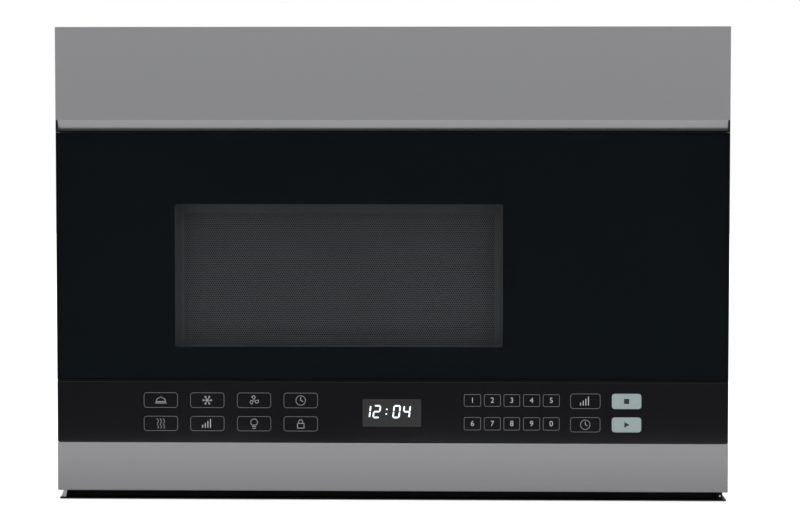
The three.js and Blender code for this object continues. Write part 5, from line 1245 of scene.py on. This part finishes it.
def studio_world():
    """White to the eye; the light comes from all round but for a dark patch straight in front."""
    world = bpy.data.worlds.new("studio")
    tree = empty_tree(world)
    place = node_at(tree, "ShaderNodeTexCoord", -6, 1).outputs["Generated"]
    parts = split_place(tree, place, -5, 1)
    side = math_node(tree, "ABSOLUTE", -4, 0, math_node(tree, "SUBTRACT", -5, 0, parts["X"], DARK_MIDDLE))
    sideways = stage_gradient(tree, -3, 0, side, *DARK_SIDES)
    upward = stage_gradient(tree, -3, 1, parts["Z"], *DARK_TOP)
    behind = stage_gradient(tree, -3, 2, parts["Y"], *DARK_DEPTH)
    lit = math_node(tree, "MAXIMUM", -2, 0, sideways, behind)
    lit = math_node(tree, "MULTIPLY", -1, 0, lit, WORLD_SIDES)
    above = math_node(tree, "MULTIPLY", -1, 1, upward, WORLD_ABOVE)
    lit = math_node(tree, "MAXIMUM", 0, 0, math_node(tree, "MAXIMUM", 0, 1, lit, above), WORLD_DARK)
    path = node_at(tree, "ShaderNodeLightPath", 0, 3).outputs
    studio = node_at(tree, "ShaderNodeBackground", 1, 0, Color=WORLD_WHITE, Strength=lit)
    white = node_at(tree, "ShaderNodeBackground", 1, 2, Color=WORLD_WHITE, Strength=1.0)
    mixed = node_at(tree, "ShaderNodeMixShader", 2, 0, path["Is Camera Ray"], studio.outputs[0],
                    white.outputs[0])
    node_at(tree, "ShaderNodeOutputWorld", 3, 0, mixed.outputs[0])
    return world


class MICROWAVE_OT_stage(bpy.types.Operator):
    """Camera, floor, white surround and soft lamps"""

    bl_idname = "microwave.stage"
    bl_label = "Studio stage"

    def execute(self, context):
        scene = context.scene
        settings = scene.microwave_stage
        scene.view_settings.view_transform = "Standard"
        scene.world = studio_world()
        lens = bpy.data.cameras.new("camera")
        lens.lens = settings.camera_lens
        lens.sensor_width = SENSOR_WIDTH
        scene.camera = object_of("camera", lens)
        scene.camera.location = settings.camera_place
        scene.camera.rotation_euler = (
            Matrix.Rotation(settings.camera_yaw, 3, "Z")
            @ Matrix.Rotation(math.radians(90) - settings.camera_pitch, 3, "X")
            @ Matrix.Rotation(settings.camera_roll, 3, "Z")).to_euler()
        mesh = bmesh.new()
        bmesh.ops.create_grid(mesh, x_segments=8, y_segments=8, size=FLOOR_REACH)
        floor = mesh_object("floor", mesh)
        floor.location.z = -FLOOR_DROP
        floor.data.materials.append(floor_material())
        for name, place, target, width, height, power in LAMPS:
            lamp = bpy.data.lights.new(name, "AREA")
            lamp.shape = "RECTANGLE"
            lamp.size = width
            lamp.size_y = height
            lamp.energy = power
            holder = object_of(name, lamp)
            holder.location = place
            holder.rotation_euler = (Vector(target) - Vector(place)).to_track_quat("-Z", "Y").to_euler()
            holder.visible_glossy = False
        return {"FINISHED"}


# ---------------------------------------------------------------- panel and registration

STEPS = (
    MICROWAVE_OT_finishes, MICROWAVE_OT_door_print, MICROWAVE_OT_edge_trims, MICROWAVE_OT_door_pan,
    MICROWAVE_OT_window_screen, MICROWAVE_OT_latch_spring, MICROWAVE_OT_key_outlines,
    MICROWAVE_OT_number_keys, MICROWAVE_OT_start_keys, MICROWAVE_OT_key_signs, MICROWAVE_OT_clock,
    MICROWAVE_OT_filter_mesh, MICROWAVE_OT_lens_ribs, MICROWAVE_OT_screws, MICROWAVE_OT_corner_gusset,
    MICROWAVE_OT_stage,
)


class MICROWAVE_PT_steps(bpy.types.Panel):
    """Lists the steps that finish the oven"""

    bl_idname = "MICROWAVE_PT_steps"
    bl_label = "Microwave"
    bl_space_type = "VIEW_3D"
    bl_region_type = "UI"
    bl_category = "Microwave"

    def draw(self, context):
        column = self.layout.column(align=True)
        for step in STEPS:
            column.operator(step.bl_idname)
        for settings in (context.scene.microwave_finish, context.scene.microwave_stage):
            for name in settings.bl_rna.properties.keys():
                if name not in {"rna_type", "name"}:
                    column.prop(settings, name)


CLASSES = (FinishSettings, StageSettings, *STEPS, MICROWAVE_PT_steps)


def register():
    for item in CLASSES:
        bpy.utils.register_class(item)
    bpy.types.Scene.microwave_finish = PointerProperty(type=FinishSettings)
    bpy.types.Scene.microwave_stage = PointerProperty(type=StageSettings)


def unregister():
    del bpy.types.Scene.microwave_stage
    del bpy.types.Scene.microwave_finish
    for item in reversed(CLASSES):
        bpy.utils.unregister_class(item)


def main():
    """Runs every step in order."""
    register()
    for step in STEPS:
        group, name = step.bl_idname.split(".")
        getattr(getattr(bpy.ops, group), name)()


if __name__ == "__main__":
    main()
